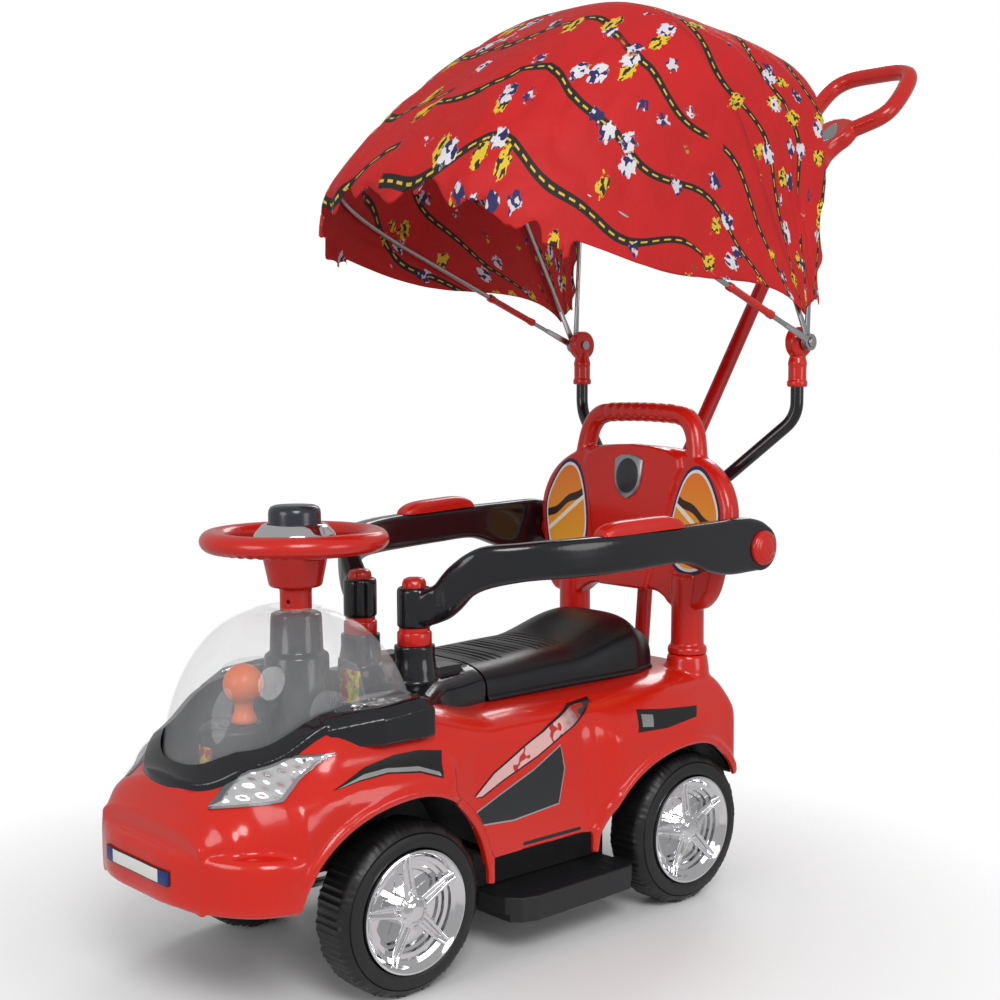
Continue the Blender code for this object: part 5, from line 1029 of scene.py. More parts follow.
def make_toy():
    """Drum with its print, and the plain peg."""
    drum = [(0, 0.2138), (0.034, 0.2138), (0.034, 0.2605), (0.0335, 0.263), (0.031, 0.2655),
            (0.0285, 0.2672), (0.0265, 0.267), (0.025, 0.2662), (0.015, 0.2662), (0.014, 0.2673),
            (0, 0.2676)]
    item = new_object("drum", *turned(drum, (TOY_X, 0, 0), "z", 72), "drum_print", "toy")
    soften(item, 0.0, shade=35)
    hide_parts("toy_turntable")
    peg = [(0, 0.2679), (0.0122, 0.2679), (0.0132, 0.2695), (0.013, 0.2725), (0.0112, 0.276),
           (0.0098, 0.279), (0.0094, 0.283), (0.0098, 0.2865), (0.011, 0.29)]
    middle, radius = 0.3074, 0.0205
    peg += [(radius * math.cos(math.radians(a)), middle + radius * math.sin(math.radians(a)))
            for a in spread(-48, 90, 24)]
    item = new_object("peg", *turned(peg, (TOY_X - 0.008, 0.008, 0), "z", 48), "orange_plastic", "toy",
                      "orange")
    item.data.shade_smooth()
    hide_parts("toy_peg")


def seat_profile(x):
    """Height of the seat's crown along the car."""
    return interpolate(((-0.034, 0.286), (-0.024, 0.312), (0.008, 0.33), (0.115, 0.306), (0.2435, 0.302)),
                       x)


def seat_width(x):
    """Half-width of the seat along the car."""
    return interpolate(((-0.034, 0.057), (-0.022, 0.075), (0.016, 0.085), (0.13, 0.081), (0.2435, 0.083)),
                       x)


def seat_groove(x, y):
    """Depth of the plain grooves pressed into the seat's front."""
    if not 0.092 < x < 0.226 or abs(y) > 0.052:
        return 0.0
    depth = 0.0
    for low, high, reach in ((0.196, 0.226, 0.05), (0.15, 0.186, 0.04), (0.1, 0.14, 0.05)):
        if low <= x <= high:
            wave = math.cos(2 * math.pi * (x - low) / 0.01)
            ends = smoothstep(reach, reach - 0.004, abs(y)) if abs(y) > reach - 0.004 else 1.0
            depth = 0.0016 * smoothstep(-0.1, -0.7, -wave) * ends if wave > 0.1 else 0.0
    return depth


def make_seat():
    """Hard seat with rolled edge and plain grooves."""
    rings = []
    places = spread(-0.034, 0.016, 14)[:-1] + spread(0.016, 0.09, 18)[:-1] + spread(0.09, 0.2435, 124)
    for x in places:
        top, side = seat_profile(x), seat_width(x)
        section = []
        for y, z in seat_ring(side, top, DECK - 0.004, 30):
            section.append((x, y, z - (seat_groove(x, y) if z > top - 0.012 else 0.0)))
        rings.append(section)
    seat = new_object("seat_cover", *loft(rings), "seat_black", "seat", "black")
    rim = []
    for x in spread(-0.034, 0.2435, 60):
        side = seat_width(x) + 0.0012
        rim.append([(x, y, z) for y, z in ((side, 0.262), (side + 0.002, 0.264), (side + 0.002, 0.2665),
                                           (side, 0.269), (-side, 0.269), (-side - 0.002, 0.2665),
                                           (-side - 0.002, 0.264), (-side, 0.262))])
    soften(seat, 0.0, shade=50)
    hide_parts("seat_lid")
    edge = new_object("seat_rim", *loft(rim), "seat_black", "seat", "black")
    soften(edge, 0.0008)
    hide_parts("seat_lid")


SOCKET_X, SOCKET_Y, SOCKET_Z = -0.0889, 0.085, 0.474


def lean_back(points, front):
    """Place (Y, Z) points of the backrest at a distance in front of its front face."""
    return [(-0.05 + front - (z - 0.345) * 0.1, y, z) for y, z in points]


def back_outline(scale=1.0):
    """Rounded outline of the backrest's panel."""
    w, low, high = 0.163, 0.345, 0.529
    half = [(0.0, low + 0.006), (0.05, low + 0.006), (0.07, low - 0.001), (0.084, low - 0.01),
            (0.118, low - 0.01), (w - 0.03, low - 0.004), (w - 0.018, low + 0.014), (w - 0.01, low + 0.05),
            (w - 0.002, low + 0.08), (w, low + 0.108), (w - 0.01, low + 0.136), (w - 0.03, low + 0.158),
            (w - 0.062, high - 0.01), (w - 0.1, high - 0.003), (0.0, high)]
    path = curve_through([Vector((y, z, 0)) for y, z in half], 6)
    half = [(p.x, p.y) for p in path if p.x > 0.0005]
    middle = (low + high) / 2
    ring = half + [(-y, z) for y, z in reversed(half)]
    return [(y * scale, middle + (z - middle) * scale) for y, z in ring]


def make_backrest():
    """Rounded panel with posts, carry handle, raised middle, shield and stickers."""
    shells = [loft([lean_back(back_outline(scale), front) for front, scale in
                    ((-0.026, 0.94), (-0.0235, 0.975), (-0.019, 0.995), (-0.008, 1.0), (-0.003, 0.982),
                     (0.0, 0.95))])]
    raised = [(0.04, 0.352), (0.064, 0.44), (0.078, 0.49), (0.084, 0.505), (0.08, 0.516), (0.06, 0.524),
              (0.032, 0.528), (0.0, 0.5295)]
    raised += [(-y, z) for y, z in reversed(raised[:-1])]
    shells.append(loft([lean_back(raised, -0.01), lean_back(raised, 0.0022),
                        lean_back([(y * 0.955, 0.444 + (z - 0.444) * 0.975) for y, z in raised], 0.0042)]))
    centre_x = -0.063
    path = [(centre_x - (z - 0.345) * 0.1, y, z) for y, z in
            ((0.098, 0.5), (0.094, 0.528), (0.088, 0.548), (0.076, 0.562), (0.058, 0.567), (0.03, 0.5685),
             (0, 0.569))]
    path += [(x, -y, z) for x, y, z in reversed(path[:-1])]
    smooth_path = curve_through(path, 10)
    sizes = []
    for p in smooth_path:
        share = 0.5 + 0.5 * math.cos(2 * math.pi * p.y / 0.0145)
        sizes.append(1 - (0.07 * share if abs(p.y) < 0.066 else 0))
    shells.append(sweep(smooth_path, circle(0.0125, 20), up=(1, 0, 0), scales=sizes))
    for side in (1, -1):
        post = [(0, 0.2805), (0.0238, 0.2805), (0.0238, 0.2872), (0.0225, 0.2895), (0.02, 0.29),
                (0.0195, 0.375), (0, 0.375)]
        shells.append(turned(post, (POST_X, side * POST_Y, 0), "z", 40))
        shells.append(rod(0.0205, 0.133, 0.1684, RAIL_PIVOT, "y", 40, side))
        low, high = sorted((side * 0.13, side * 0.15))
        shells.append(slab((-0.0875, low, 0.398), (-0.064, high, 0.43)))
        shells.append(rod(0.0128, SOCKET_X - 0.012, SOCKET_X + 0.012, (0, side * SOCKET_Y, SOCKET_Z), "x",
                          32))
    back = new_object("backrest_moulding", *gather(*shells), "red_plastic", "car_body", "red")
    mould(back, 0.0018, 4)
    for side in (1, -1):
        boolean(back, rod(0.0082, SOCKET_X - 0.03, SOCKET_X + 0.01, (0, side * SOCKET_Y, SOCKET_Z), "x",
                          24))
    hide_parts("backrest")
    make_back_shield()
    make_back_stickers()


def make_back_shield():
    """Plain shield in the raised middle."""
    shield = [(0.0, 0.462), (0.013, 0.468), (0.021, 0.48), (0.0235, 0.494), (0.0235, 0.511),
              (0.014, 0.5155), (0.0, 0.517)]
    ring = shield[1:-1]
    outline = shield + [(-y, z) for y, z in reversed(ring)]
    badge = loft([lean_back(outline, 0.003), lean_back(outline, 0.0062),
                  lean_back([(y * 0.93, 0.49 + (z - 0.49) * 0.93) for y, z in outline], 0.0072)])
    item = new_object("back_shield", *badge, "shield_print", "car_body")
    soften(item, 0.0004)


def make_back_stickers():
    """Plain orange patches with a white line and a navy edge, one on each side."""
    for side in (1, -1):
        outline = [(0.07, 0.428), (0.079, 0.47), (0.092, 0.498), (0.108, 0.507), (0.124, 0.5),
                   (0.14, 0.478), (0.15, 0.45), (0.146, 0.418), (0.135, 0.388), (0.112, 0.376),
                   (0.088, 0.38), (0.072, 0.4)]
        curve = curve_through([Vector((side * y, z, 0)) for y, z in outline], 5, True)
        outline = [(p.x, p.y) for p in curve]
        middle = (sum(p[0] for p in outline) / len(outline), sum(p[1] for p in outline) / len(outline))
        for name, scale, proud, material in (("edge", 1.0, 0.0005, "navy_print"),
                                             ("line", 0.93, 0.0008, "white_print"),
                                             ("patch", 0.87, 0.0011, "panel_print")):
            shape = [(middle[0] + (y - middle[0]) * scale, middle[1] + (z - middle[1]) * scale)
                     for y, z in outline]
            layer = loft([lean_back(shape, -0.001), lean_back(shape, proud)])
            new_object(f"back_{name}_{side > 0}", *layer, material, "car_body")


def rail_path(side):
    """Stations of a guard rail: place, bottom, top and half-width."""
    rows = [(0.3165, 0.05, 0.35, 0.384, 0.017), (0.3085, 0.062, 0.351, 0.3915, 0.016),
            (0.302, 0.0745, 0.355, 0.399, 0.0135), (0.2965, 0.0945, 0.367, 0.421, 0.0118),
            (0.2825, 0.1165, 0.39, 0.437, 0.012), (0.2505, 0.1425, 0.4, 0.441, 0.012),
            (0.21, 0.161, 0.402, 0.4435, 0.012), (0.1625, 0.173, 0.403, 0.445, 0.012),
            (0.105, 0.179, 0.405, 0.447, 0.012), (0.045, 0.181, 0.406, 0.448, 0.012),
            (0.0, 0.181, 0.392, 0.449, 0.012), (-0.0335, 0.181, 0.386, 0.45, 0.012),
            (-0.0675, 0.181, 0.386, 0.45, 0.012), (-0.0935, 0.181, 0.388, 0.444, 0.012),
            (-0.1075, 0.181, 0.396, 0.433, 0.012)]
    return [(x, side * y, low, high, w) for x, y, low, high, w in rows]


def make_rails():
    """Guard rails with collars, pads, release buttons, pivot caps and posts."""
    for name, side in SIDES:
        stations = rail_path(side)
        centre = curve_through([Vector((x, y, 0)) for x, y, low, high, w in stations], 6)
        lows = curve_through([Vector((low, high, w)) for x, y, low, high, w in stations], 6)
        rings = []
        for i, (place, size) in enumerate(zip(centre, lows)):
            before, after = centre[max(i - 1, 0)], centre[min(i + 1, len(centre) - 1)]
            heading = (after - before).normalized()
            across = Vector((-heading.y, heading.x, 0))
            low, high, w = size
            middle, half = (low + high) / 2, (high - low) / 2
            ring = []
            for k in range(28):
                t = 2 * math.pi * k / 28
                c, s = math.cos(t), math.sin(t)
                u = w * math.copysign(abs(c) ** 0.45, c)
                v = half * math.copysign(abs(s) ** 0.45, s)
                ring.append(place + across * u + Vector((0, 0, middle + v)))
            rings.append(ring)
        shells = [loft(rings)]
        boss = [(0, 0.169), (0.0262, 0.169), (0.027, 0.17), (0.027, 0.1915), (0.0258, 0.193), (0, 0.193)]
        shells.append(turned(boss, RAIL_PIVOT, "y", 48, side))
        post = (RAIL_POST_X, side * RAIL_POST_Y, 0)
        collar = [(0, 0.3496), (0.0176, 0.3496), (0.0185, 0.3505), (0.0185, 0.3875), (0.0178, 0.391),
                  (0.016, 0.392), (0, 0.392)]
        shells.append(turned(collar, post, "z", 40))
        rail = new_object("rail_moulding_" + name, *gather(*shells), "black_gloss", "rail_" + name, "black")
        mould(rail, 0.0016, 3)
        boolean(rail, rod(0.0211, 0.1866, 0.21, RAIL_PIVOT, "y", 40, side))
        boolean(rail, rod(0.0136, 0.378, 0.41, post, "z", 40))
        soften(rail, 0.0, shade=45)
        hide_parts("guard_rail_" + name)
        for make in (make_pad, make_release, make_pivot_cap, make_rail_post):
            make(name, side)


def make_pad(name, side):
    """Low cushion-shaped pad on top of the rail."""
    rings = []
    for i in range(49):
        t = i / 48
        x = 0.045 + 0.118 * t
        y = side * (0.181 - 0.008 * smoothstep(0, 1, t))
        base = 0.448 - 0.003 * smoothstep(0, 1, t)
        bulge = max(1 - abs(2 * t - 1) ** 4.5, 0.0)
        w, height = 0.0122 * (0.72 + 0.28 * bulge ** 0.5), 0.0145 * bulge ** 0.55 + 0.0006
        ring = []
        for k in range(24):
            a = math.pi * k / 23
            ring.append((x, y + w * math.copysign(abs(math.cos(a)) ** 0.7, math.cos(a)),
                         base - 0.001 + height * math.sin(a) ** 0.55))
        rings.append(ring)
    pad = new_object("pad_" + name, *loft(rings), "red_plastic", "rail_" + name, "red")
    soften(pad, 0.0, shade=60)
    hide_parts("rail_pad_" + name)


def make_release(name, side):
    """Lobed button on top of the front post."""
    place = (RAIL_POST_X, side * RAIL_POST_Y, 0)
    rings = []
    for r, z in ((0.013, 0.3826), (0.013, 0.3945), (0.0126, 0.3975), (0.0112, 0.4002), (0.0085, 0.4018),
                 (0.0045, 0.402), (0.0001, 0.4016)):
        ring = []
        for i in range(72):
            turn = 2 * math.pi * i / 72
            petal = 1 - 0.06 * (0.5 + 0.5 * math.cos(turn * 6)) * smoothstep(0.394, 0.3975, z) * (r > 0.003)
            ring.append((place[0] + r * petal * math.cos(turn), place[1] + r * petal * math.sin(turn), z))
        rings.append(ring)
    button = new_object("release_" + name, *loft(rings), "red_plastic", "release_" + name, "red")
    soften(button, 0.0, shade=50)
    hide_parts("rail_release_" + name)


def make_pivot_cap(name, side):
    """Ringed cap in the rail's rear boss."""
    cap = [(0, 0.19), (0.0205, 0.19), (0.0205, 0.195), (0.0196, 0.1972), (0.0178, 0.1986), (0.015, 0.1992),
           (0.0146, 0.1988), (0.0142, 0.1992), (0.008, 0.1998), (0, 0.2)]
    item = new_object("pivot_cap_" + name, *turned(cap, RAIL_PIVOT, "y", 56, side),
                      "red_plastic", "pivot_cap_" + name, "red")
    soften(item, 0.0, shade=45)
    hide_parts("rail_pivot_cap_" + name)


def make_rail_post(name, side):
    """Stepped red post that the rail's front end rests on."""
    sleeve = [(0, 0.3303), (0.0182, 0.3303), (0.0185, 0.3308), (0.0185, 0.343), (0.018, 0.3442),
              (0.017, 0.3448), (0.0165, 0.3452), (0.0165, 0.3485), (0.016, 0.349), (0.009, 0.349),
              (0.0086, 0.3535), (0.007, 0.355), (0, 0.355)]
    item = new_object("post_" + name, *turned(sleeve, (RAIL_POST_X, side * RAIL_POST_Y, 0), "z", 48),
                      "red_plastic", "car_body", "red")
    soften(item, 0.0, shade=40)
    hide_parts("rail_post_" + name)


def bend_path(points, radius, steps=9):
    """Straight runs joined by round bends of one radius."""
    points = [Vector(p) for p in points]
    path = [points[0]]
    for before, corner, after in zip(points, points[1:], points[2:]):
        back, ahead = (before - corner).normalized(), (after - corner).normalized()
        half = back.angle(ahead) / 2
        reach = min(radius / math.tan(half), (before - corner).length * 0.49,
                    (after - corner).length * 0.49)
        start, end = corner + back * reach, corner + ahead * reach
        for t in spread(0, 1, steps):
            path.append(start * (1 - t) ** 2 + corner * 2 * t * (1 - t) + end * t * t)
    return path + [points[-1]]


def make_footrests():
    """Ribbed black side steps."""
    for name, side in SIDES:
        x0, x1, y0, y1, z0, z1 = 0.093, 0.279, 0.083, 0.166, 0.04, 0.068
        plan = [(x0, y0), (x1 - 0.01, y0), (x1, y0 + 0.006), (x1, y1 - 0.034), (x1 - 0.004, y1 - 0.02),
                (x1 - 0.016, y1 - 0.006), (x1 - 0.034, y1), (x0 + 0.01, y1 - 0.003),
                (x0 + 0.002, y1 - 0.007), (x0, y1 - 0.014)]
        plan = [(x, side * y) for x, y in plan]
        shells = [prism(plan, z0, z1 - 0.0008)]
        for i in range(9):
            x = x0 + 0.02 + i * 0.0175
            low, high = sorted((side * (y0 + 0.03), side * (y1 - 0.012)))
            shells.append(slab((x, low, z1 - 0.003), (x + 0.0035, high, z1 - 0.0003)))
        item = new_object("step_" + name, *gather(*shells), "dark_matt", "step_" + name, "black")
        mould(item, 0.0013, 2)
        low, high = sorted((side * (y0 - 0.01), side * (y1 + 0.01)))
        boolean(item, slab((x0 - 0.01, low, z0 - 0.01), (x0 + 0.0075, high, z0 + 0.0085)))
        boolean(item, slab((x1 - 0.0075, low, z0 - 0.01), (x1 + 0.01, high, z0 + 0.0085)))
        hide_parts("footrest_" + name)


GRIP = (-0.43, 0, 0.905)


def grip_frame():
    """Start of the handle, the way along it and the way across its face."""
    lean = math.radians(45)
    return (Vector(GRIP), Vector((-math.sin(lean), 0, math.cos(lean))),
            Vector((math.cos(lean), 0, math.sin(lean))))


def make_push_bar(sizes):
    """Red pole with its handle."""
    def axis(z):
        """Place on the pole's lower, straight part."""
        return Vector((POLE_X - (z - DECK) * 0.087, 0, z))

    pole = bend_path([axis(0.1453), axis(0.4), GRIP], 0.08, 12)
    item = new_object("pole_tube", *sweep(pole, circle(sizes.pole, 28), up=(0, 1, 0)), "pole_red",
                      "car_body", "red")
    soften(item, 0.0, shade=50)
    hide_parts("push_pole")
    make_grip(pole)
    make_grip_inset()


def make_grip(pole):
    """Loop grip, two-lobed neck and the sleeve on the pole's end."""
    top, along, across = grip_frame()
    half, neck, reach = 0.0685, 0.062, 0.1909
    loop = [(0, neck), (half * 0.55, neck + 0.012), (half, neck + 0.038), (half, reach - 0.03),
            (half * 0.7, reach - 0.004), (0, reach)]
    loop += [(-y, z) for y, z in reversed(loop[1:-1])]
    path = curve_through([top + along * z + Vector((0, y, 0)) for y, z in loop], 14, True)
    shells = [sweep(path, circle(0.0115, 24), True, up=across)]
    outline = [(0.012, -0.03), (0.0145, 0.0), (0.0135, 0.018), (0.02, 0.034), (0.029, 0.046), (0.032, 0.06),
               (0.028, 0.074), (0.012, 0.08)]
    ring = curve_through([Vector((y, z, 0)) for y, z in outline], 5)
    outline = [(p.x, p.y) for p in ring] + [(-p.x, p.y) for p in reversed(ring)]
    rings = []
    for depth, scale in ((-0.0118, 0.8), (-0.0095, 0.93), (-0.004, 1.0), (0.004, 1.0), (0.0095, 0.93),
                         (0.0118, 0.8)):
        rings.append([top + along * z + across * depth + Vector((0, y * scale, 0)) for y, z in outline])
    shells.append(loft(rings))
    heading = (Vector(pole[-1]) - Vector(pole[-2])).normalized()
    shells.append(sweep([pole[-1] - heading * 0.04, pole[-1] - heading * 0.038, pole[-1] + heading * 0.01],
                        circle(0.013, 28), up=(0, 1, 0)))
    grip = new_object("grip_moulding", *gather(*shells), "red_plastic", "car_body", "red")
    mould(grip, 0.0013, 4)
    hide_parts("push_handle")


def make_grip_inset():
    """Bright drop-shaped inset in the neck's face."""
    top, along, across = grip_frame()
    drop = []
    for i in range(40):
        turn = 2 * math.pi * i / 40
        u, v = math.cos(turn), math.sin(turn)
        drop.append((0.0135 * v * (1 - 0.45 * u), 0.05 + 0.02 * u))
    rings = []
    for depth, scale in ((0.01, 1.0), (0.0122, 1.0), (0.0128, 0.93), (0.012, 0.82), (0.0124, 0.6)):
        rings.append([top + along * (0.05 + (z - 0.05) * scale) + across * depth + Vector((0, y * scale, 0))
                      for y, z in drop])
    inset = new_object("grip_inset", *loft(rings), "steel", "car_body")
    soften(inset, 0.0, shade=40)


PIVOT = (-0.1585, 0.654)
BOWS = {"front": (22.0, 0.497), "mid": (61.0, 0.43), "rear": (93.0, 0.345)}
TUBE_Y, HUB_Y = 0.184, 0.1958
ARM_THICK, ARM_STEP = 0.0025, 0.0031


def hub_place(layer):
    """Inner and outer face of one bow's arm at the pivot."""
    near = HUB_Y + layer * ARM_STEP
    return near, near + ARM_THICK


def hood_section(w):
    """Share of the half-width and of the height at w, from 0 at the crown to 1 at the hub."""
    if w >= 2 / 3:
        return 1.0, 1.5 * (1 - w)
    angle = math.pi * 0.75 * w
    return math.sin(angle) ** 0.65, 0.5 + 0.5 * abs(math.cos(angle)) ** 0.65


def make_hood_frame(sizes):
    """Black tubes, red clamps and sleeves, bright bows and bolts."""
    for layer, (key, body) in enumerate((("rear", "car_body"), ("mid", "middle_bow"),
                                         ("front", "front_bow"))):
        make_bow(layer, key, body, sizes.bow)
    for name, side in SIDES:
        make_hood_post(name, side, sizes.tube)


def make_bow(layer, key, body, radius):
    """Bright bow with its flat arms, and the front bow's red sleeves."""
    angle, length = BOWS[key]
    near, far = hub_place(layer)
    lean = math.radians(angle)
    heading = Vector((math.cos(lean), 0, math.sin(lean)))
    half = (near + far) / 2
    points = []
    for w in (1 - 0.052 / length * 2 / 3, 0.8, 2 / 3, 0.62, 0.58, 0.53, 0.47, 0.41, 0.36, 0.3, 0.25, 0.19,
              0.13, 0.08, 0.04, 0.015):
        across, height = hood_section(w)
        point = Vector((PIVOT[0], half * across, PIVOT[1])) + heading * (height * length)
        points.append(point)
    path = curve_through(points + [Vector((p.x, -p.y, p.z)) for p in reversed(points)], 3)
    bow = new_object("bow_rod_" + key, *sweep(path, circle(radius, 12), up=heading), "steel", body, "steel")
    soften(bow, 0.0, shade=50)
    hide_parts("bow_" + key)
    upright = Vector((-heading.z, 0, heading.x))
    eye = [(0.01 * math.cos(math.radians(a)), 0.01 * math.sin(math.radians(a)))
           for a in spread(25, 335, 24)]
    outline = eye + [(0.052, -0.0032), (0.056, -0.0028), (0.058, 0), (0.056, 0.0028), (0.052, 0.0032)]
    for name, side in SIDES:
        arm = loft([[Vector((PIVOT[0], side * y, PIVOT[1])) + heading * u + upright * v for u, v in outline]
                    for y in (near, far)])
        item = new_object(f"bow_arm_{key}_{name}", *arm, "steel", body, "steel")
        soften(item, 0.0005)
        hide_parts("bow_" + key)
        if key == "front":
            start = Vector((PIVOT[0], side * half, PIVOT[1])) + heading * 0.078
            sleeve = sweep([start + heading * d
                            for d in (0, 0.001, 0.008, 0.01, 0.075, 0.077, 0.084, 0.085)],
                           circle(0.005, 24), scales=[0.85, 1.0, 1.0, 0.86, 0.86, 1.0, 1.0, 0.85],
                           up=(0, 1, 0))
            holder = new_object("bow_sleeve_" + name, *sleeve, "red_plastic", body, "red")
            soften(holder, 0.0, shade=40)
            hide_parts("bow_holder_" + name)


def make_hood_post(name, side, radius):
    """Bent tube and clamp with its pivot disc."""
    x, z = PIVOT
    top = z - 0.025
    points = [(SOCKET_X + 0.008, side * SOCKET_Y, SOCKET_Z), (SOCKET_X - 0.03, side * SOCKET_Y, SOCKET_Z),
              (x, side * TUBE_Y, 0.565), (x, side * TUBE_Y, top)]
    tube = new_object("hood_tube_" + name, *sweep(bend_path(points, 0.04, 12), circle(radius, 26)),
                      "black_gloss", "car_body", "black")
    soften(tube, 0.0, shade=50)
    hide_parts("canopy_tube_" + name)
    sleeve = [(0, top - 0.028), (0.0108, top - 0.028), (0.0122, top - 0.0265), (0.0122, top - 0.0215),
              (0.0108, top - 0.02), (0.0108, top - 0.004), (0.0115, top), (0.01, top + 0.006),
              (0.0075, z - 0.01), (0, z - 0.008)]
    disc = [(0, 0.179), (0.018, 0.179), (0.019, 0.18), (0.019, 0.188), (0.0182, 0.1905), (0.0165, 0.193),
            (0.015, 0.1945), (0, 0.1945)]
    y = side * TUBE_Y
    shells = [turned(sleeve, (x, y, 0), "z", 40), turned(disc, (x, 0, z), "y", 48, side),
              slab((x - 0.006, y - 0.0045, z - 0.03), (x + 0.006, y + 0.0045, z))]
    clamp = new_object("hood_clamp_" + name, *gather(*shells), "red_plastic", "car_body", "red")
    mould(clamp, 0.0009, 3)
    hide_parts("canopy_clamp_" + name)
    far = hub_place(2)[1] + 0.0006
    bolt = [(0, 0.1762), (0.006, 0.1762), (0.006, 0.1792), (0.003, 0.1792), (0.003, far), (0.006, far),
            (0.006, far + 0.0012), (0.005, far + 0.0026), (0.002, far + 0.0032), (0, far + 0.0032)]
    item = new_object("hood_screw_" + name, *turned(bolt, (x, 0, z), "y", 24, side), "steel",
                      "car_body", "steel")
    soften(item, 0.0, shade=40)
    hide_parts("hood_bolt_" + name)


SWOOSH = ((0.4965, 0.2255), (0.456, 0.2405), (0.4213, 0.2462), (0.3903, 0.246), (0.3623, 0.2412),
          (0.3685, 0.229), (0.3715, 0.2165), (0.3968, 0.2262), (0.4337, 0.231), (0.4671, 0.2292))
SWOOSH_LIGHT = ((0.4925, 0.2262), (0.46, 0.2345), (0.4337, 0.236), (0.3968, 0.232), (0.3745, 0.2235),
                (0.3737, 0.2195), (0.3968, 0.2278), (0.4337, 0.2323), (0.4671, 0.2302))
BLADE = ((0.3192, 0.185), (0.2919, 0.2055), (0.2499, 0.2245), (0.2065, 0.242), (0.1616, 0.2545),
         (0.1245, 0.256), (0.1462, 0.2463), (0.1842, 0.2291), (0.2284, 0.2105), (0.2781, 0.1937),
         (0.3084, 0.1813))
WEDGE = ((0.3234, 0.153), (0.3152, 0.169), (0.2851, 0.1805), (0.2356, 0.1985), (0.1947, 0.2185),
         (0.1886, 0.1913), (0.1975, 0.1533), (0.2642, 0.148))
SLASH = ((0.0891, 0.217), (0.0747, 0.2385), (0.0364, 0.2341), (-0.0186, 0.2305), (-0.0083, 0.2202),
         (0.043, 0.2153))


def make_side_graphics():
    """Plain wordless shapes on both sides, as thin film."""
    layers = (("swoosh", SWOOSH, "graphic_black", 0.0),
              ("swoosh_light", SWOOSH_LIGHT, "graphic_silver", 1.0), ("blade", BLADE, "graphic_black", 0.0),
              ("blade_light", shrunk(BLADE, 0.0019), "graphic_blade", 1.0),
              ("wedge", WEDGE, "graphic_silver", 0.0),
              ("wedge_dark", shrunk(WEDGE, 0.0018), "graphic_dark", 1.0),
              ("slash", SLASH, "graphic_black", 0.0),
              ("slash_light", ((0.08, 0.2215), (0.0725, 0.2335), (0.056, 0.231), (0.064, 0.2195)),
               "graphic_silver", 1.0))
    for name, side in SIDES:
        for label, outline, material, layer in layers:
            patch = hull_patch(f"film_{label}_{name}", outline, -0.0004 - 0.0002 * layer, material, side,
                               0.0016)
            soften(patch, 0.0, shade=40)


def make_special_materials(colours):
    """Finishes of the larger mouldings, the films and the clear pieces."""
    plastic("black_gloss", colours.trim_black, 0.17, coat=0.3)
    plastic("seat_black", colours.seat_black, 0.3, 0.00005)
    plastic("body_red", colours.body_red, 0.2, coat=0.3)
    plastic("pole_red", colours.pole_red, 0.3)
    plastic("horn_grey", "2A2C36", 0.25, coat=0.3)
    plastic("navy_print", "1C2450", 0.4)
    plastic("white_print", "EDEDEA", 0.4)
    plastic("graphic_black", "141316", 0.3)
    plastic("graphic_dark", "26282C", 0.3)
    metal("graphic_silver", "C8C8C6", 0.35)
    metal("lamp_frame", "9A9AA0", 0.2)
    clear_plastic("clear_dome", "DDE2EA", 0.02, 0.11)
    clear_plastic("lamp_lens", "F2F5F8", 0.02, 0.12)
    for make in (make_lamp_facets, make_blade_print, make_strip_print, make_panel_print, make_shield_print,
                 make_patch_prints, make_cloth_material):
        make()


def make_lamp_facets():
    """Bright reflectors of the lamps with faceted relief and painted glints: the metal's colour is lighter
    on each facet's crest and darker in its hollow.
    """
    tree = Tree("reflector")
    x, y, z = tree.position()
    facet_relief_and_glint = (x * 330 + z * 260).sin() * (z * 520 - x * 120).sin()
    # painted glint: the facet pattern also makes the metal's colour lighter on the crests and darker in the
    # hollows
    tree.set(Base_Color=tree.mix(facet_relief_and_glint * 0.5 + 0.5, (0.8, 0.8, 0.8), (0.95, 0.95, 0.96)), Metallic=1.0,
             Roughness=0.1 + tree.noise(60.0) * 0.08, Normal=tree.bump(facet_relief_and_glint, 0.0012))


def make_blade_print():
    """Pale streaks on the side film's blade."""
    tree = Tree("graphic_blade")
    x, y, z = tree.position()
    share = ((x - 0.12) / 0.2 + tree.noise(70.0, 1.0) * 0.25).clamp()
    colour = tree.mix(share.above(0.38, 0.25), "3A3A3E", "E8B7B4")
    tree.set(Base_Color=tree.mix((share * 26).sin().above(0.86, 0.1), colour, "C03028"), Roughness=0.32)


def make_strip_print():
    """Bare pale strip with blue ends and a dark edge."""
    tree = Tree("strip_print")
    x, y, z = tree.position()
    side = abs(y)
    edge = side.above(0.06).most(z.above(0.1513)).most(z.below(0.1387))
    colour = tree.mix(side.above(0.044), "EDEDEA", "1B2F7A")
    tree.set(Base_Color=tree.mix(edge, colour, "121214"), Roughness=0.3)


def make_panel_print():
    """Orange patch with a dark and a pale streak."""
    tree = Tree("panel_print")
    x, y, z = tree.position()
    streak = abs(z - 0.452 + (abs(y) - 0.11) * 0.55 + (abs(y) * 160).sin() * 0.002).below(0.0052, 0.0012)
    colour = tree.mix(((z - 0.38) / 0.12).clamp(), "F3B43C", "EE7A1E")
    white = abs(z - 0.4375 + (abs(y) - 0.11) * 0.75).below(0.0034, 0.001)
    colour = tree.mix(white, colour, "F6EDD8")
    tree.set(Base_Color=tree.mix(streak, colour, "33201C"), Roughness=0.35)


def make_shield_print():
    """Dark shield with a bright rim."""
    tree = Tree("shield_print")
    x, y, z = tree.position()
    rim = ((y * y + (z - 0.4905) * (z - 0.4905) * 0.75) ** 0.5).above(0.0188, 0.0008)
    tree.set(Base_Color=tree.mix(rim, "2E3033", "A9ABAE"), Metallic=rim * 0.8, Roughness=0.3)


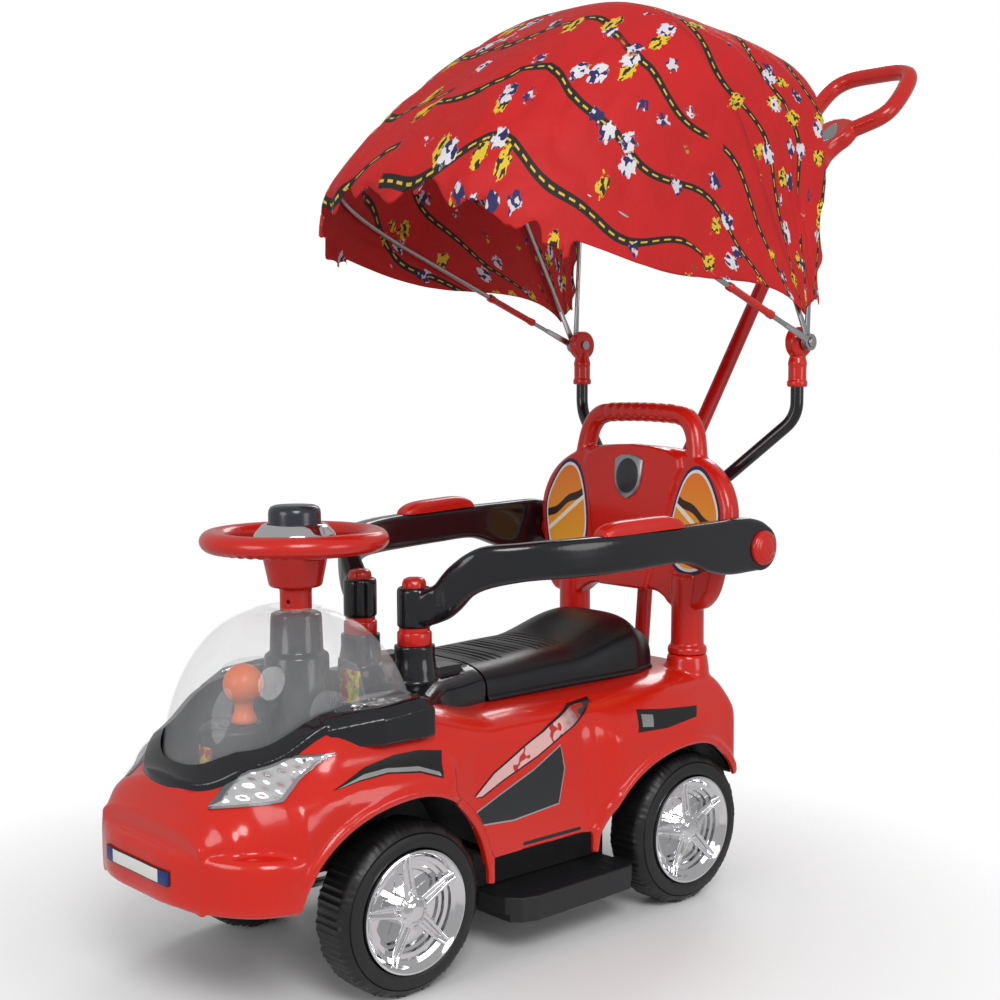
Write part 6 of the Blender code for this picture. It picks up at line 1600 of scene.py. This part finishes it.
def make_patch_prints():
    """Fins and drum with small plain patches."""
    for name, ground, centre in (("fin_print", "5A5E6C", 0.294), ("drum_print", "1B1D26", 0.236)):
        tree = Tree(name)
        x, y, z = tree.position()
        height = abs(z - centre)
        blotch = tree.noise(60.0, 3.0)
        if name == "fin_print":
            inside = height.below(0.018, 0.001) * blotch.above(0.3, 0.05) * abs(abs(y) - 0.038).below(0.017,
                                                                                                      0.001)
        else:
            inside = height.below(0.0125, 0.0008) * x.above(0.534, 0.001) * y.above(-0.022, 0.001)
            inside = inside * y.below(0.012, 0.001)
        colour = tree.mix(blotch.above(0.5, 0.04), "B02A22", "D8C23A")
        colour = tree.mix(tree.noise(95.0, 2.0).above(0.56, 0.03), colour, "7FA23C")
        tree.set(Base_Color=tree.mix(inside, ground, colour), Roughness=0.3,
                 Normal=tree.bump(tree.noise(200.0), 0.00002))


def add_motifs(tree, colour, along, across, left):
    """Small ragged shapes in four colours, laid over a colour."""
    ragged = tree.noise(130.0, 2.0, vector=tree.join(along, across, 0.0)) - 0.5
    for scale, stretch, ground, mark, low, high, size in (
            (14.0, 1.9, "E6C22A", "2A1E18", 0.0, 0.62, 0.27),
            (16.0, 1.3, "E4E0E6", "24225C", 0.0, 0.6, 0.28),
            (16.0, 1.2, "26265E", "D8D4DC", 0.4, 0.9, 0.22),
            (24.0, 1.0, "C98A34", "8A3A18", 0.0, 0.2, 0.15)):
        place = tree.join(along + size, across * stretch + scale, left * 0.37)
        cell = tree.node("TexVoronoi", {"feature": "F1"}, {"Vector": place, "Scale": scale,
                                                           "Randomness": 0.8}).socket.node
        distance = Sock(tree, cell.outputs["Distance"])
        tone = Sock(tree, tree.node("SeparateXYZ", {}, [Sock(tree, cell.outputs["Color"])]).socket)
        chosen = tone.above(low, 0.001) * tone.below(high, 0.001)
        shape = (distance + ragged * 0.34).below(size, 0.02) * chosen
        detail = tree.noise(75.0 + scale, 1.0, vector=place).above(0.54, 0.02)
        colour = tree.mix(shape, colour, ground)
        colour = tree.mix(shape * detail, colour, mark)
    return colour


def make_cloth_material():
    """Red nylon with a plain print: dark curved bands with dashes, and small shapes."""
    tree = Tree("hood_cloth")
    x, y, z = tree.position()
    px, pz = x - PIVOT[0], z - PIVOT[1]
    turn = tree.node("Math", {"operation": "ARCTAN2"}, [pz, px])
    radius = (px * px + pz * pz) ** 0.5
    along = turn * 0.42
    across = abs(y) + (0.46 - radius)
    lane = along * 9.6 + (across * 19 + y.above(0.0) * 2.2).sin() * 0.24 + (across * 41).sin() * 0.08
    place = abs(lane.fraction() - 0.5)
    gaps = tree.noise(7.0, 1.0, vector=tree.join(along, across, y.above(0.0))).above(0.36, 0.02)
    band = place.below(0.062, 0.012) * gaps
    dash = place.below(0.013, 0.006) * (across * 62).fraction().below(0.58, 0.06) * gaps
    edges = (place.below(0.05, 0.008) * -1.0 + 1.0) * band
    weave = (x * 2600).sin() * (y * 2600).sin() * (z * 2600).sin()
    cloud = tree.noise(14.0, 3.0)
    colour = tree.mix(cloud, "BC080C", "D81214")
    colour = tree.mix(band, colour, "20160F")
    colour = tree.mix(edges * 0.5, colour, "0C0A09")
    colour = tree.mix(dash, colour, "E0BE4A")
    colour = add_motifs(tree, colour, along, across, y.above(0.0))
    tree.set(Base_Color=colour, Roughness=0.62 + cloud * 0.12,
             Normal=tree.bump(tree.noise(26.0, 4.0) * 2.4 + weave * 0.05, 0.0014))


CLOTH_HALF, STAND = 0.2075, 0.0074
ROWS, COLUMNS = 44, 241


def hood_reach(height):
    """How far down its section the cloth goes to end at a share of the height."""
    if height < 0.5:
        return 1 - height / 1.5
    return math.acos((2 * height - 1) ** (1 / 0.65)) / (math.pi * 0.75)


def cloth_point(start, end, side, side_low, t, u, sag, gather, hem):
    """Place on the taut cloth with its sag between two bows."""
    on_bow = 1 - hem / abs(end[0] - start[0])
    length = start[1] + (end[1] - start[1]) * t + STAND
    low = side_low[0] + (side_low[1] - side_low[0]) * t
    across, height = hood_section(abs(u) * hood_reach(low / length))
    wave = gather * t ** 4 * (1 + math.cos(2 * math.pi * 5 * u))
    crown = start[0] + (end[0] - start[0]) * t
    lower = start[0] + (side[0] - start[0]) * (1 - (1 - t) ** side[1])
    lean = crown + (lower - crown) * abs(u) ** 1.5
    share = min(max((lean - start[0]) / (end[0] - start[0]), t), 1.0)
    length = start[1] + (end[1] - start[1]) * share + STAND
    slack = math.sin(math.pi * min(share / on_bow, 1)) * sag * height ** 2
    radius = height * (length - slack + wave * 0.5)
    lean = math.radians(lean)
    return Vector((PIVOT[0] + math.cos(lean) * radius, CLOTH_HALF * across * (1 if u >= 0 else -1),
                   PIVOT[1] + math.sin(lean) * radius))


def creases(t, u, seed):
    """Soft folds of the slack cloth, fixed along the bows."""
    free = math.sin(math.pi * min(max(t, 0), 1)) ** 0.6
    broad = noise.noise(Vector((u * 3.2 + seed, t * 2.0, seed)))
    fine = noise.noise(Vector((u * 9.0 + t * 4.0, t * 4.0 - u * 3.0, seed + 4)))
    ridge = 1 - abs(noise.noise(Vector((u * 5.0 - t * 2.6, t * 1.6 + seed, 9.0)))) * 2.2
    return free * (broad * 0.0055 + fine * 0.0024 + max(ridge - 0.55, 0) * 0.0065)


def cloth_sheet(start, end, side, side_low, sag, gather, hem, valance, seed):
    """Sheet between two bows as a grid, with a gathered edge that hangs past the last bow."""
    axis = Vector((PIVOT[0], 0, PIVOT[1]))
    grid = []
    for t in spread(0, 1, ROWS):
        row = []
        for u in spread(-1, 1, COLUMNS):
            point = cloth_point(start, end, side, side_low, t, u, sag, gather, hem)
            out = Vector((point.x - axis.x, point.y * 0.9, point.z - axis.z)).normalized()
            row.append(point - out * abs(creases(t, u, seed)))
        grid.append(row)
    edge, before = grid[-1], grid[-3]
    for step in spread(0, 1, 9)[1:]:
        row = []
        for i, (point, inner) in enumerate(zip(edge, before)):
            u = 2 * i / (COLUMNS - 1) - 1
            ripple = math.sin(u * 46 + 1.3 * math.sin(u * 13)) * 0.005 * step
            deep = valance * (0.62 + 0.3 * math.sin(u * 21 + 0.6) + 0.14 * math.sin(u * 53))
            heading = (point - inner).normalized()
            roll = math.sin(math.pi * 0.5 * min(step * 2.2, 1))
            drop = Vector((0, 0, -1)) * deep * step + heading * (0.004 * roll + ripple)
            row.append(point + drop + Vector((0, -0.1 * deep * step * (1 if u > 0 else -1), 0)))
        grid.append(row)
    vertices = [p for row in grid for p in row]
    faces = []
    for i in range(len(grid) - 1):
        for j in range(COLUMNS - 1):
            k = i * COLUMNS + j
            faces.append((k, k + 1, k + COLUMNS + 1, k + COLUMNS))
    return vertices, faces


def make_hood(sizes):
    """Both parts of the printed hood, which meet over the middle bow."""
    hem = 2.0
    parts = (("front", -1, (14.5, 4), (0.036, 0.39), 0.004, 0.024, 3.0, "front_bow", (1.087, 0.352), 0.261),
             ("rear", 1, (91.5, 1), (0.036, 0.05), 0.0, 0.012, 7.0, "car_body", (1.087, 0.262), 0.16))
    for key, way, side, side_low, gather, valance, seed, body, flat, area in parts:
        end = (BOWS[key][0] + way * hem, BOWS[key][1])
        vertices, faces = cloth_sheet(BOWS["mid"], end, side, side_low, sizes.sag, gather, hem, valance,
                                      seed)
        mesh = bpy.data.meshes.new("hood_sheet_" + key)
        mesh.from_pydata(in_frame(vertices), [], faces)
        item = link("hood_sheet_" + key, mesh)
        item.data.materials.append(MATERIALS["hood_cloth"])
        modify(item, "SOLIDIFY", thickness=sizes.cloth, offset=0)
        apply_modifiers(item)
        item.data.shade_smooth()
        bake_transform(item)
        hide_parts("hood_" + key)


def make_camera(stage):
    """Camera at the photograph's place and angle."""
    data = bpy.data.cameras.new("photo_camera")
    data.sensor_width = 36.0
    data.lens = stage.lens
    data.shift_x = -0.0502
    data.shift_y = 0.0162
    camera = link("photo_camera", data)
    camera.location = (1.3079, 1.3462, 0.6238)
    yaw, pitch = math.radians(46.935), math.radians(5.446)
    heading = Vector((-math.cos(yaw) * math.cos(pitch), -math.sin(yaw) * math.cos(pitch), -math.sin(pitch)))
    camera.rotation_euler = heading.to_track_quat("-Z", "Y").to_euler()
    bpy.context.scene.camera = camera


def area_light(name, place, target, size, power):
    """Round soft light that looks at a target."""
    data = bpy.data.lights.new(name, "AREA")
    data.shape = "DISK"
    data.size = size
    data.energy = power
    item = link(name, data)
    item.location = place
    item.rotation_euler = (Vector(target) - Vector(place)).to_track_quat("-Z", "Y").to_euler()


def make_stage(stage):
    """Pale floor, white surroundings and soft lights."""
    tree = Tree("stage_floor")
    x, y, z = tree.position()
    tree.set(Base_Color=tree.mix(tree.noise(2.0), (0.93, 0.93, 0.935), (0.95, 0.95, 0.955)), Roughness=0.9)
    far = (((x - 0.25) * (x - 0.25) + y * y) ** 0.5 - 0.28) / 0.45
    clear = tree.nodes.new("ShaderNodeBsdfTransparent")
    blend = tree.nodes.new("ShaderNodeMixShader")
    tree.feed(blend.inputs[0], far.clamp())
    tree.links.new(tree.shader.outputs[0], blend.inputs[1])
    tree.links.new(clear.outputs[0], blend.inputs[2])
    tree.links.new(blend.outputs[0], tree.output.inputs[0])
    size = 14.0
    floor = link("stage_floor", bpy.data.meshes.new("stage_floor"))
    floor.data.from_pydata([(-size, -size, 0), (size, -size, 0), (size, size, 0), (-size, size, 0)], [],
                           [(0, 1, 2, 3)])
    floor.data.materials.append(MATERIALS["stage_floor"])
    make_surroundings(stage)
    area_light("key", (1.6, 2.6, 2.6), (0, 0, 0.4), 1.6, stage.key_power)
    area_light("front_fill", (3.0, 0.2, 1.2), (0.1, 0, 0.3), 1.4, stage.key_power * 0.3)
    area_light("side_fill", (-0.6, 3.0, 0.9), (0, 0, 0.3), 1.4, stage.key_power * 0.25)
    area_light("back_rim", (-2.4, -1.6, 2.2), (0, 0, 0.5), 1.4, stage.key_power * 0.35)
    bpy.context.scene.view_settings.view_transform = "Standard"
    bpy.context.scene.view_settings.look = "None"


def make_surroundings(stage):
    """World that lights the car softly and shows white to the camera."""
    world = bpy.data.worlds.new("surroundings")
    world.use_nodes = True
    bpy.context.scene.world = world
    nodes, links = world.node_tree.nodes, world.node_tree.links
    back = next(n for n in nodes if n.type == "BACKGROUND")
    back.inputs["Color"].default_value = (1, 1, 1, 1)
    back.inputs["Strength"].default_value = stage.ambient
    seen = nodes.new("ShaderNodeBackground")
    seen.inputs["Color"].default_value = (1, 1, 1, 1)
    seen.inputs["Strength"].default_value = 1.0
    path, blend = nodes.new("ShaderNodeLightPath"), nodes.new("ShaderNodeMixShader")
    output = next(n for n in nodes if n.type == "OUTPUT_WORLD")
    links.new(path.outputs["Is Camera Ray"], blend.inputs[0])
    links.new(back.outputs[0], blend.inputs[1])
    links.new(seen.outputs[0], blend.inputs[2])
    links.new(blend.outputs[0], output.inputs[0])


def make_materials(colours):
    """All plain plastics and metals, then the special ones."""
    plastic("red_plastic", colours.panel_red, 0.24, coat=0.25)
    plastic("black_plastic", "17171B", 0.32)
    plastic("dark_matt", "1A1A1D", 0.5, 0.00004)
    plastic("tyre_black", "141416", 0.42, 0.00006)
    plastic("orange_plastic", colours.toy_orange, 0.35)
    metal("chrome", "E8E8EA", 0.07)
    metal("steel", "B8B8BA", 0.3)
    make_special_materials(colours)


DRESS = {"underbody_pan": "dark_matt", "sound_box": "dark_matt", "seat_hinge_pin": "steel",
         "storage_bin": "dark_matt", "rear_axle": "steel", "tie_rod": "steel", "steering_shaft": "steel",
         "horn_spring": "steel", "knuckle_left": "steel", "knuckle_right": "steel"}


def colour_setting(name, description, colour):
    """Colour that a user may change, with its default as display values."""
    return bpy.props.FloatVectorProperty(name=name, description=description, subtype="COLOR", size=3,
                                         default=rgba(colour)[:3], min=0.0, max=1.0)


def size_setting(name, description, size):
    """Length in metres that a user may change."""
    return bpy.props.FloatProperty(name=name, description=description, subtype="DISTANCE", unit="LENGTH",
                                   default=size, min=size / 4, max=size * 4, precision=4)


class CarColours(bpy.types.PropertyGroup):
    """Colours of the car's larger pieces."""

    body_red: colour_setting("Body", "Red of the body shell", "D81E0A")
    panel_red: colour_setting("Panels",
                              "Red of the backrest, the steering wheel, the handle and small pieces",
                              "D01C10")
    pole_red: colour_setting("Pole", "Red of the push pole", "BE0608")
    trim_black: colour_setting("Trim", "Black of the dash, the rails and the hood's tubes", "121318")
    seat_black: colour_setting("Seat", "Black of the seat", "111318")
    toy_orange: colour_setting("Toy", "Orange of the peg under the dome", "F07020")


class CarSizes(bpy.types.PropertyGroup):
    """Sizes of the car's thin and round pieces."""

    pole: size_setting("Pole radius", "Radius of the push pole", 0.0095)
    tube: size_setting("Tube radius", "Radius of the hood's bent tubes", 0.0078)
    bow: size_setting("Bow radius", "Radius of the hood's bows", 0.003)
    cloth: size_setting("Cloth", "Thickness of the hood's cloth", 0.0009)
    sag: size_setting("Sag", "How far the cloth hangs in between two bows", 0.012)
    dome_wall: size_setting("Dome wall", "Thickness of the clear dome", 0.0012)
    edge: size_setting("Edge", "Rounding of the small parts' edges", 0.0008)


class StageSettings(bpy.types.PropertyGroup):
    """Lens and lights of the studio."""

    lens: bpy.props.FloatProperty(name="Lens", description="Focal length of the photograph's camera",
                                  default=56.07, min=20.0, max=200.0, unit="CAMERA")
    key_power: bpy.props.FloatProperty(name="Key light", description="Power of the largest light in watts",
                                       default=54.0, min=0.0, max=1000.0)
    ambient: bpy.props.FloatProperty(name="Ambient", description="Strength of the white surroundings",
                                     default=0.42, min=0.0, max=3.0)


class CAR_OT_materials(bpy.types.Operator):
    """Make the plain plastics and metals"""

    bl_idname = "car.materials"
    bl_label = "Materials"

    def execute(self, context):
        make_materials(context.scene.car_colours)
        return {"FINISHED"}


class CAR_OT_body(bpy.types.Operator):
    """Mould the red body with its bumper and side graphics"""

    bl_idname = "car.body"
    bl_label = "Body"

    def execute(self, context):
        make_body()
        make_side_graphics()
        return {"FINISHED"}


class CAR_OT_dash(bpy.types.Operator):
    """Make the dash, the dome, the lamps and the number strip"""

    bl_idname = "car.dash"
    bl_label = "Dash"

    def execute(self, context):
        make_dash()
        make_dome(context.scene.car_sizes)
        make_headlights()
        make_number_strip()
        return {"FINISHED"}


class CAR_OT_wheels(bpy.types.Operator):
    """Make the tyres and their bright caps"""

    bl_idname = "car.wheels"
    bl_label = "Wheels"

    def execute(self, context):
        make_wheels()
        return {"FINISHED"}


class CAR_OT_steering(bpy.types.Operator):
    """Make the steering wheel, the horn button and the toy"""

    bl_idname = "car.steering"
    bl_label = "Steering"

    def execute(self, context):
        make_steering()
        make_toy()
        return {"FINISHED"}


class CAR_OT_seating(bpy.types.Operator):
    """Make the seat, the backrest and the footrests"""

    bl_idname = "car.seating"
    bl_label = "Seating"

    def execute(self, context):
        make_seat()
        make_backrest()
        make_footrests()
        return {"FINISHED"}


class CAR_OT_rails(bpy.types.Operator):
    """Make the guard rails with their pads, buttons and posts"""

    bl_idname = "car.rails"
    bl_label = "Rails"

    def execute(self, context):
        make_rails()
        return {"FINISHED"}


class CAR_OT_push_bar(bpy.types.Operator):
    """Make the pole and its loop handle"""

    bl_idname = "car.push_bar"
    bl_label = "Push bar"

    def execute(self, context):
        make_push_bar(context.scene.car_sizes)
        return {"FINISHED"}


class CAR_OT_hood(bpy.types.Operator):
    """Make the hood cloth with its tubes, clamps and bows"""

    bl_idname = "car.hood"
    bl_label = "Hood"

    def execute(self, context):
        make_hood_frame(context.scene.car_sizes)
        make_hood(context.scene.car_sizes)
        return {"FINISHED"}


class CAR_OT_small_parts(bpy.types.Operator):
    """Dress the nodes that have no piece of their own with smooth copies"""

    bl_idname = "car.small_parts"
    bl_label = "Small parts"

    def execute(self, context):
        edge = context.scene.car_sizes.edge
        pieces = {node: dress(node, material, edge) for node, material in DRESS.items()}
        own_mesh(pieces["horn_spring"])
        return {"FINISHED"}


class CAR_OT_stage(bpy.types.Operator):
    """Make the camera, the floor and the lights"""

    bl_idname = "car.stage"
    bl_label = "Stage"

    def execute(self, context):
        make_camera(context.scene.car_stage)
        make_stage(context.scene.car_stage)
        return {"FINISHED"}


GROUPS = {"car_colours": CarColours, "car_sizes": CarSizes, "car_stage": StageSettings}
OPERATORS = (CAR_OT_materials, CAR_OT_body, CAR_OT_dash, CAR_OT_wheels, CAR_OT_steering, CAR_OT_seating,
             CAR_OT_rails, CAR_OT_push_bar, CAR_OT_hood, CAR_OT_small_parts, CAR_OT_stage)


class CAR_PT_panel(bpy.types.Panel):
    """Sidebar panel with the settings and one button per step"""

    bl_idname = "CAR_PT_panel"
    bl_label = "Ride-on car"
    bl_space_type = "VIEW_3D"
    bl_region_type = "UI"
    bl_category = "Ride-on car"

    def draw(self, context):
        for group in GROUPS:
            settings = getattr(context.scene, group)
            for name in type(settings).__annotations__:
                self.layout.prop(settings, name)
        for operator in OPERATORS:
            self.layout.operator(operator.bl_idname)


CLASSES = (*GROUPS.values(), *OPERATORS, CAR_PT_panel)


def register():
    """Add the classes and the settings."""
    for item in CLASSES:
        bpy.utils.register_class(item)
    for name, group in GROUPS.items():
        setattr(bpy.types.Scene, name, bpy.props.PointerProperty(type=group))


def unregister():
    """Take the settings and the classes away."""
    for name in GROUPS:
        delattr(bpy.types.Scene, name)
    for item in reversed(CLASSES):
        bpy.utils.unregister_class(item)


def main():
    """Register the add-on and build every piece in order."""
    register()
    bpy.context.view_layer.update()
    for operator in OPERATORS:
        group, step = operator.bl_idname.split(".")
        getattr(getattr(bpy.ops, group), step)()


if __name__ == "__main__":
    main()
